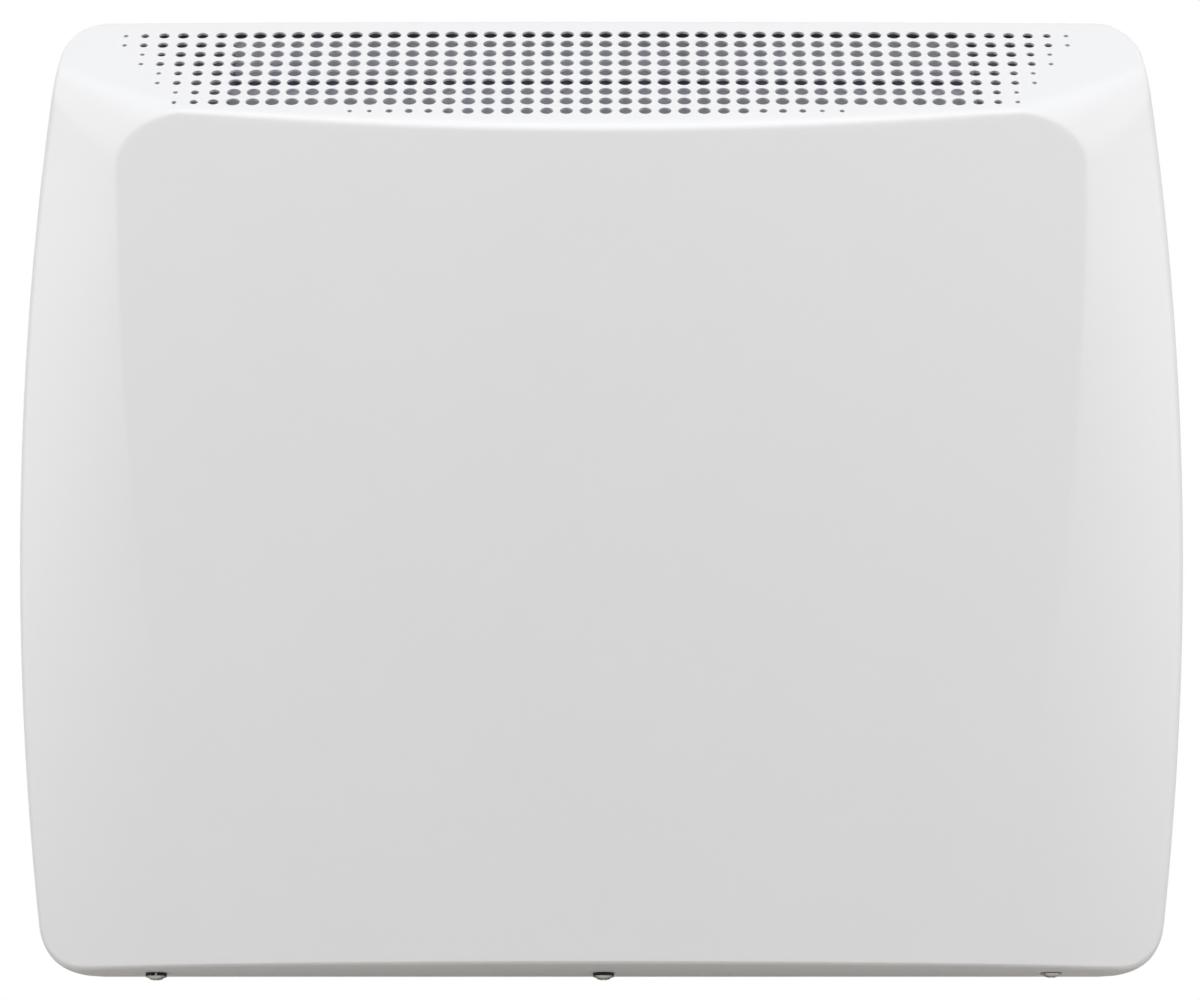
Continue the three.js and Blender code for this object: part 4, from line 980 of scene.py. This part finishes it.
def grille_points(settings):
    """Place and radius of every perforation."""
    places, radii = [], []
    last = GRILLE_COLUMNS - 1
    for row, start in enumerate(GRILLE_ROW_STARTS):
        z = GRILLE_FIRST_Z - row * GRILLE_ROW_STEP_Z
        for column in range(start, GRILLE_COLUMNS - start):
            x = GRILLE_CENTRE_X + (column - last / 2) * GRILLE_PITCH
            from_end = min(column - start, last - start - column)
            drop = float(crown_drop(x, z, settings.crown / MM))
            places.append((x, top_depth(x, z), z - drop))
            radii.append(hole_diameter(row, from_end, column, settings.hole / MM) / 2)
    return places, radii


def points_object(name, places, radii):
    """Loose points that carry a radius in scene units."""
    made = new_object(name, places, [])
    values = made.data.attributes.new("radius", "FLOAT", "POINT").data
    values.foreach_set("value", [r * MM for r in radii])
    return made


def screw_places(stand_offs=(0.0, 0.0, 0.0)):
    """Foot of each cover screw, on the underside or standing off it."""
    nodes = ("cover_screw_left", "cover_screw_centre", "cover_screw_right")
    middles = [sum(corner.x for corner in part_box(node)) / 2 / MM for node in nodes]
    under_z = UNDER_FRONT_Z - UNDER_SLOPE * (FACE_DEPTH - SCREW_DEPTH)
    return [(x, SCREW_DEPTH + off * math.sin(UNDER_TILT), under_z - off * math.cos(UNDER_TILT))
            for x, off in zip(middles, stand_offs)]


def box_corners():
    """The low and high corner of every box in scene units, under their sockets' names."""
    corners = {}
    for label, (_, (xs, depths, zs)) in BOXES.items():
        corners[f"{label} low"] = (xs[0] * MM, -depths[1] * MM, zs[0] * MM)
        corners[f"{label} high"] = (xs[1] * MM, -depths[0] * MM, zs[1] * MM)
    return corners


class HEATER_OT_cover(bpy.types.Operator):
    """Builds the pressed, perforated and powder-coated front cover"""
    bl_idname = "heater.cover"
    bl_label = "Front cover"

    def execute(self, context):
        settings = context.scene.heater_cover
        shell = new_object("cover_shell", *cover_shell(settings))
        wall = shell.modifiers.new("Sheet", "SOLIDIFY")
        wall.thickness = settings.sheet
        wall.offset = -1.0
        holes = points_object("hole_points", *grille_points(settings))
        screws = points_object("screw_points", screw_places(), [SCREW_HOLE_R] * 3)
        enamel = grained("White enamel", settings.enamel, settings.enamel_roughness, 620.0,
                         settings.peel, low=0.992)
        add_geometry_modifier(shell, cover_openings_tree(), {
            "Holes": holes, "Screw holes": screws,
            "Grille tilt": math.atan2(1, TOP_SLOPE), "Underside tilt": math.pi - UNDER_TILT,
            "Edge": settings.hole_edge, "Edge share": settings.hole_edge / (settings.hole / 2),
            **box_corners(), "Material": enamel})
        cover = baked(shell, "pressed_cover", sharp_degrees=24)
        for helper in (holes, screws):
            bpy.data.objects.remove(helper)
        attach(cover, "case")
        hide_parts("front_cover")
        return {"FINISHED"}


def pan_head_profile(settings):
    """(radius, height) outline of a washer-faced pan head on its shank, head uppermost."""
    r, h = settings.head_radius / MM, settings.head_height / MM
    flange, shank, depth = settings.flange / MM, settings.shank_radius / MM, settings.shank / MM
    dome = [(DOME_SHARE * r * math.cos(a), flange + (h - flange) * math.sin(a))
            for a in map(math.radians, DOME_DEGREES)]
    return [
        (0, -depth), (shank * 0.5, -depth), (shank * 0.92, -depth + 1.6), (shank, -depth + 2.0),
        (shank, -0.25), (shank + 0.2, 0), (r - 0.15, 0), (r, 0.12), (r, flange - 0.15),
        (r - 0.15, flange), *dome, (0, h)]


def cross_recess(settings):
    """A four-armed driver tool with tapering arms, to be cut out of a head."""
    reach, half = RECESS_REACH, RECESS_HALF
    arm, outline = [(reach, -half), (reach, half), (half, half)], []
    for _ in range(4):
        outline += arm
        arm = [(-b, a) for a, b in arm]
    rings = [(RECESS_TAPER, settings.flange / MM), (1.0, settings.head_height / MM + RECESS_OVER)]
    points = [(a * s, b * s, z) for s, z in rings for a, b in outline]
    return points, ring_faces(2, len(outline)) + end_faces(2, len(outline))


def upright_object(name, points, faces):
    """A mesh object whose points are already (x, y, z) millimetres."""
    return new_object(name, [(x, -y, z) for x, y, z in points], faces)


def washer_form(thickness, half_opening):
    """A flat black ring of painted shade from the head's seat up, open at the front by an angle each
    way.
    """
    inner, outer = SHADE_RING_RADII
    span = FULL_TURN - 2 * half_opening
    steps = SHADE_RING_STEPS - 1 if half_opening else SHADE_RING_STEPS
    angles = [math.pi / 2 + half_opening + span * k / steps for k in range(SHADE_RING_STEPS)]
    section = [(outer, 0.0), (outer, -thickness), (inner, -thickness), (inner, 0.0)]
    points = [(r * math.cos(a), r * math.sin(a), h) for a in angles for r, h in section]
    count = len(section)
    if half_opening:
        last = range((SHADE_RING_STEPS - 1) * count, SHADE_RING_STEPS * count)
        ends = [tuple(range(count)), tuple(reversed(last))]
    else:
        ends = closing_faces(SHADE_RING_STEPS, count)
    return points, ring_faces(SHADE_RING_STEPS, count) + ends


class HEATER_OT_shade_rings(bpy.types.Operator):
    """Builds black rings of painted shade that fill the gaps between the screw heads and the cover
    """
    bl_idname = "heater.washers"
    bl_label = "Screw washers"

    def execute(self, context):
        cos, sin = math.cos(UNDER_TILT), math.sin(UNDER_TILT)
        points, faces = [], []
        seats = screw_places(SCREW_STAND_OFFS)
        for (x, depth, z), gap, opening in zip(seats, SHADE_RING_GAPS, SHADE_RING_OPENINGS):
            form, sides = washer_form(gap, opening)
            placed = [(x + a, depth + b * cos + c * sin, z + b * sin - c * cos) for a, b, c in form]
            add_piece(points, faces, placed, sides)
        # Painted shade: near-black rings that stand for the dark gap under each screw head
        shade_black = grained("Black fibre", (0.008, 0.008, 0.009), 0.7, 900.0, 0.3, low=0.85)
        washers = closed_object("washer_form", points, faces)
        washers = baked(washers, "screw_washers", sharp_degrees=30, material=shade_black)
        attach(washers, "case")
        return {"FINISHED"}


class HEATER_OT_screws(bpy.types.Operator):
    """Builds the three zinc pan-head screws under the cover"""
    bl_idname = "heater.screws"
    bl_label = "Cover screws"

    def execute(self, context):
        settings = context.scene.heater_fixings
        screw = upright_object("screw_form", *lathe(pan_head_profile(settings), TURNED_SIDES))
        cut_out(screw, upright_object("driver_form", *cross_recess(settings)))
        places = new_object("screw_feet", screw_places(SCREW_STAND_OFFS), [])
        zinc = drawn_metal("Zinc plate", settings.zinc, 0.3, (900.0, 900.0, 900.0), 0.9)
        add_geometry_modifier(screw, pieces_on_points_tree(), {
            "Places": places, "Turn": (math.pi - UNDER_TILT, 0.0, 0.0), "Material": zinc})
        screws = baked(screw, "cover_screws", sharp_degrees=28)
        bpy.data.objects.remove(places)
        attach(screws, "case")
        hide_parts("cover_screw_left", "cover_screw_centre", "cover_screw_right")
        return {"FINISHED"}


def knob_rings(settings):
    """(radius, height, flute depth) up the knob, from its seat to the edge of its top."""
    skirt, grip = settings.skirt_radius / MM, settings.grip_radius / MM
    top = settings.knob_height / MM
    flanks = [(grip - 0.25 * share, 3.4 + (top - 4.6) * share, 1.0) for share in (0.35, 0.65, 0.88)]
    return [
        (skirt - 0.3, 0.0, 0), (skirt, 0.3, 0), (skirt, 1.7, 0), (skirt - 0.35, 2.25, 0),
        (skirt - 0.9, 2.5, 0), (grip + 0.5, 2.6, 0.1), (grip + 0.1, 2.9, 0.6), (grip, 3.4, 1.0),
        *flanks, (grip - 0.3, top - 1.1, 0.9), (grip - 0.55, top - 0.5, 0.6),
        (grip - 1.0, top - 0.15, 0.25), (grip - 1.6, top, 0.0), (grip - 2.4, top - 0.02, 0.0),
        (grip - 2.8, top - 0.3, 0.0)]


class HEATER_OT_knob(bpy.types.Operator):
    """Builds the fluted thermostat knob with its pointer"""
    bl_idname = "heater.knob"
    bl_label = "Thermostat knob"

    def execute(self, context):
        settings = context.scene.heater_controls
        sides = settings.flutes * SIDES_PER_FLUTE
        rings = knob_rings(settings)
        points = []
        for radius, height, flute in rings:
            for k, (c, s) in enumerate(circle(sides)):
                wave = 0.5 - 0.5 * math.cos(FULL_TURN * k / sides * settings.flutes)
                r = radius - FLUTE_DEPTH * flute * wave ** 2
                points.append((KNOB_SEAT_X + height, CONTROL_MID_DEPTH + r * c, KNOB_Z + r * s))
        faces = ring_faces(len(rings), sides) + end_faces(len(rings), sides)
        knob = closed_object("knob_form", points, faces)
        top = KNOB_SEAT_X + settings.knob_height / MM
        cut_out(knob, block_object("pointer_form", (top - POINTER_SUNK, top + 1), POINTER_DEPTHS,
                                   [KNOB_Z + end for end in POINTER_REACH]))
        cut_out(knob, rod_object("bore_form", BORE_R, (KNOB_SEAT_X - 1, KNOB_SEAT_X + BORE_LENGTH),
                                 CONTROL_MID_DEPTH, KNOB_Z, BORE_SIDES))
        moulding = grained("White moulding", settings.white, 0.38, 900.0, 0.08)
        knob = baked(knob, "control_knob", sharp_degrees=30, material=moulding)
        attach(knob, "knob")
        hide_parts("thermostat_knob")
        return {"FINISHED"}


class HEATER_OT_rocker(bpy.types.Operator):
    """Builds the rounded switch rocker with its dished face"""
    bl_idname = "heater.rocker"
    bl_label = "Switch rocker"

    def execute(self, context):
        settings = context.scene.heater_controls
        reach, (rise, dish) = ROCKER_HALF_LENGTH, ROCKER_FACE
        face = [(rise + dish * (z / reach) ** 2, z)
                for z in np.linspace(-reach, reach, ROCKER_STEPS + 1)]
        outline = [(-4.2, -4.0), (-2.2, -reach), *face, (-2.2, reach), (-4.2, 4.0)]
        cos, sin = math.cos(-ROCKER_TILT), math.sin(-ROCKER_TILT)
        turned = [(ROCKER_PIVOT_X + x * cos - z * sin, ROCKER_Z + x * sin + z * cos)
                  for x, z in outline]
        points = [(x, CONTROL_MID_DEPTH + side * ROCKER_HALF_WIDTH, z)
                  for side in (-1, 1) for x, z in turned]
        rocker = closed_object("rocker_form", points, prism_faces(len(turned)))
        soften(rocker, width=0.45, segments=3, degrees=35)
        moulding = grained("Rocker moulding", settings.white, 0.33, 900.0, 0.06)
        rocker = baked(rocker, "control_rocker", sharp_degrees=30, material=moulding)
        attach(rocker, "rocker")
        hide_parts("switch_rocker")
        return {"FINISHED"}


class HEATER_OT_rubber(bpy.types.Operator):
    """Builds the two wall feet and the cable grommet"""
    bl_idname = "heater.rubber"
    bl_label = "Rubber fittings"

    def execute(self, context):
        seat, front = PAN_BACK - FIT, PAN_FRONT + FIT
        foot = lathe([
            (0, 0), (6.9, 0), (7.4, 0.12), (7.85, 0.5), (8, 1.0), (8, seat - 0.5),
            (7.8, seat - 0.1), (7.5, seat), (3, seat), (3, 13.9), (2.7, 14.5), (2.2, 14.9),
            (1.6, 15), (0, 15)], TURNED_SIDES)
        grommet = lathe_ring([
            (4.5, seat - 2.2), (4.8, seat - 2.5), (10.1, seat - 2.5), (10.5, seat - 2.1),
            (10.5, seat - 0.1), (10.4, seat), (7.7, seat), (7.7, front), (10.4, front),
            (10.5, front + 0.3), (10.0, front + 2.1), (9.6, front + 2.5), (4.8, front + 2.5),
            (4.5, front + 2.2)], TURNED_SIDES)
        foot_x, foot_z = FOOT_PLACE
        points, faces = [], []
        for (form, sides), x, z in ((foot, -foot_x, foot_z), (foot, foot_x, foot_z),
                                    (grommet, *GROMMET_PLACE)):
            add_piece(points, faces, [(x + a, height, z + b) for a, b, height in form], sides)
        rubber = grained("Moulded rubber", (0.016, 0.016, 0.017), 0.66, 700.0, 0.3, low=0.85)
        fittings = closed_object("rubber_form", points, faces)
        fittings = baked(fittings, "rubber_fittings", sharp_degrees=35, material=rubber)
        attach(fittings, "case")
        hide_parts("wall_foot_left", "wall_foot_right", "cable_grommet")
        return {"FINISHED"}


class HEATER_OT_finishes(bpy.types.Operator):
    """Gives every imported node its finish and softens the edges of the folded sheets"""
    bl_idname = "heater.finishes"
    bl_label = "Finishes of the packed nodes"

    def execute(self, context):
        metal, fixings = context.scene.heater_metal, context.scene.heater_fixings
        controls = context.scene.heater_controls
        finishes = {
            "galvanised": galvanised_steel(metal),
            "zinc": drawn_metal("Bright zinc", fixings.zinc, 0.32, (600.0, 600.0, 600.0), 0.9),
            "aluminium": drawn_metal(
                "Extruded aluminium", metal.aluminium, 0.42, (20.0, 1800.0, 1800.0), 0.8),
            "ceramic": grained("Ceramic", (0.78, 0.73, 0.62), 0.5, 1400.0, 0.3, low=0.93),
            "brass": drawn_metal("Brass", (0.60, 0.42, 0.16), 0.34, (900.0, 900.0, 900.0), 0.88),
            "white_plastic": grained("White plastic", controls.white, 0.42, 800.0, 0.1),
            "dark_plastic": grained("Dark plastic", controls.dark, 0.45, 900.0, 0.25, low=0.8),
            "black_rubber": grained(
                "Black rubber", (0.014, 0.014, 0.014), 0.72, 500.0, 0.4, low=0.8),
            "lead_brown": grained("Brown lead", (0.14, 0.055, 0.022), 0.45, 400.0, 0.1, low=0.85),
            "lead_blue": grained("Blue lead", (0.03, 0.12, 0.35), 0.45, 400.0, 0.1, low=0.85),
            "lead_green": striped_lead("Earth lead", (0.10, 0.32, 0.03), (0.62, 0.50, 0.03)),
            "white_enamel": grained("Enamel", context.scene.heater_cover.enamel, 0.42, 620.0, 0.12),
        }
        slot_of = {part["node"]: part["material_slot"] for part in frame["record"]["subparts"]}
        for name, node in frame["nodes"].items():
            if node.hide_render:
                continue
            node.data.materials.clear()
            node.data.materials.append(finishes[slot_of[name]])
            if name in FOLDED or name in MOULDED:
                merge = node.modifiers.new("Merge", "WELD")
                merge.merge_threshold = WELD_GAP
                flat = node.modifiers.new("Flats", "DECIMATE")
                flat.decimate_type = "DISSOLVE"
                flat.angle_limit = math.radians(FLAT_DEGREES)
                width = metal.edge / MM * (1.0 if name in FOLDED else MOULDED_EDGE_SHARE)
                soften(node, width, segments=2, degrees=30)
        return {"FINISHED"}


def softbox(name, place, size, energy):
    """An area lamp that looks at the heater."""
    light = bpy.data.lights.new(name, "AREA")
    light.shape = "RECTANGLE"
    light.size, light.size_y = size
    light.energy = energy
    made = bpy.data.objects.new(name, light)
    made.location = place
    made.rotation_euler = (Vector(LAMP_AIM) - Vector(place)).to_track_quat("-Z", "Y").to_euler()
    bpy.context.scene.collection.objects.link(made)


def studio_world(strength):
    """Even light from all round, shown as plain white to the camera and in reflections."""
    world = bpy.data.worlds.new("Studio")
    world.use_nodes = True
    tree = world.node_tree
    ambient = tree.nodes["Background"]
    ambient.inputs["Color"].default_value = WHITE
    ambient.inputs["Strength"].default_value = strength
    path = add_node(tree, "ShaderNodeLightPath").outputs
    seen = maths(tree, "MAXIMUM", path["Is Camera Ray"], path["Is Glossy Ray"])
    seen = maths(tree, "MAXIMUM", seen, path["Is Transmission Ray"])
    shown = white_when(tree, seen, ambient.outputs[0], "ShaderNodeBackground")
    tree.links.new(shown, tree.nodes["World Output"].inputs["Surface"])
    return world


def photo_camera(settings):
    """The camera as worked out from the photo, with its picture shifted by pixels."""
    data = bpy.data.cameras.new("photo_camera")
    data.lens = settings.lens
    data.sensor_width = SENSOR_WIDTH
    data.shift_x, data.shift_y = [pixels / PICTURE_WIDTH for pixels in PICTURE_SHIFT]
    camera = bpy.data.objects.new("photo_camera", data)
    camera.location = (0.0, -settings.camera_distance, 0.0)
    camera.rotation_euler = (math.pi / 2, 0.0, 0.0)
    bpy.context.scene.collection.objects.link(camera)
    return camera


class HEATER_OT_stage(bpy.types.Operator):
    """Sets the floor, the light, the camera and the view transform"""
    bl_idname = "heater.stage"
    bl_label = "Stage"

    def execute(self, context):
        scene, settings = context.scene, context.scene.heater_stage
        radius, middle, level = FLOOR_RADIUS / MM, FLOOR_CENTRE / MM, settings.floor_z / MM
        ring = [(radius * c, middle + radius * s, level) for c, s in circle(FLOOR_SIDES)]
        floor = new_object("floor", ring, [tuple(range(FLOOR_SIDES - 1, -1, -1))])
        floor.data.materials.append(floor_material(settings.floor))
        scene.world = studio_world(settings.sky)
        for label, place, size in LAMPS:
            softbox(f"{label}_light", place, size, getattr(settings, label))
        scene.camera = photo_camera(settings)
        scene.view_settings.view_transform = "Standard"
        return {"FINISHED"}


OPERATORS = (
    HEATER_OT_cover, HEATER_OT_screws, HEATER_OT_shade_rings, HEATER_OT_knob, HEATER_OT_rocker,
    HEATER_OT_rubber, HEATER_OT_finishes, HEATER_OT_stage)


class HEATER_PT_build(bpy.types.Panel):
    """Lists the heater's operators"""
    bl_idname = "HEATER_PT_build"
    bl_label = "Panel heater"
    bl_space_type = "VIEW_3D"
    bl_region_type = "UI"
    bl_category = "Heater"

    def draw(self, context):
        for operator in OPERATORS:
            self.layout.operator(operator.bl_idname)


SETTINGS = {
    "heater_cover": HeaterCoverSettings,
    "heater_fixings": HeaterFixingSettings,
    "heater_controls": HeaterControlSettings,
    "heater_metal": HeaterMetalSettings,
    "heater_stage": HeaterStageSettings,
}
CLASSES = (*SETTINGS.values(), *OPERATORS, HEATER_PT_build)


def register():
    for each in CLASSES:
        bpy.utils.register_class(each)
    for name, group in SETTINGS.items():
        setattr(bpy.types.Scene, name, bpy.props.PointerProperty(type=group))


def unregister():
    for name in SETTINGS:
        delattr(bpy.types.Scene, name)
    for each in reversed(CLASSES):
        bpy.utils.unregister_class(each)


def main():
    register()
    bpy.ops.heater.cover()
    bpy.ops.heater.screws()
    bpy.ops.heater.washers()
    bpy.ops.heater.knob()
    bpy.ops.heater.rocker()
    bpy.ops.heater.rubber()
    bpy.ops.heater.finishes()
    bpy.ops.heater.stage()


if __name__ == "__main__":
    main()
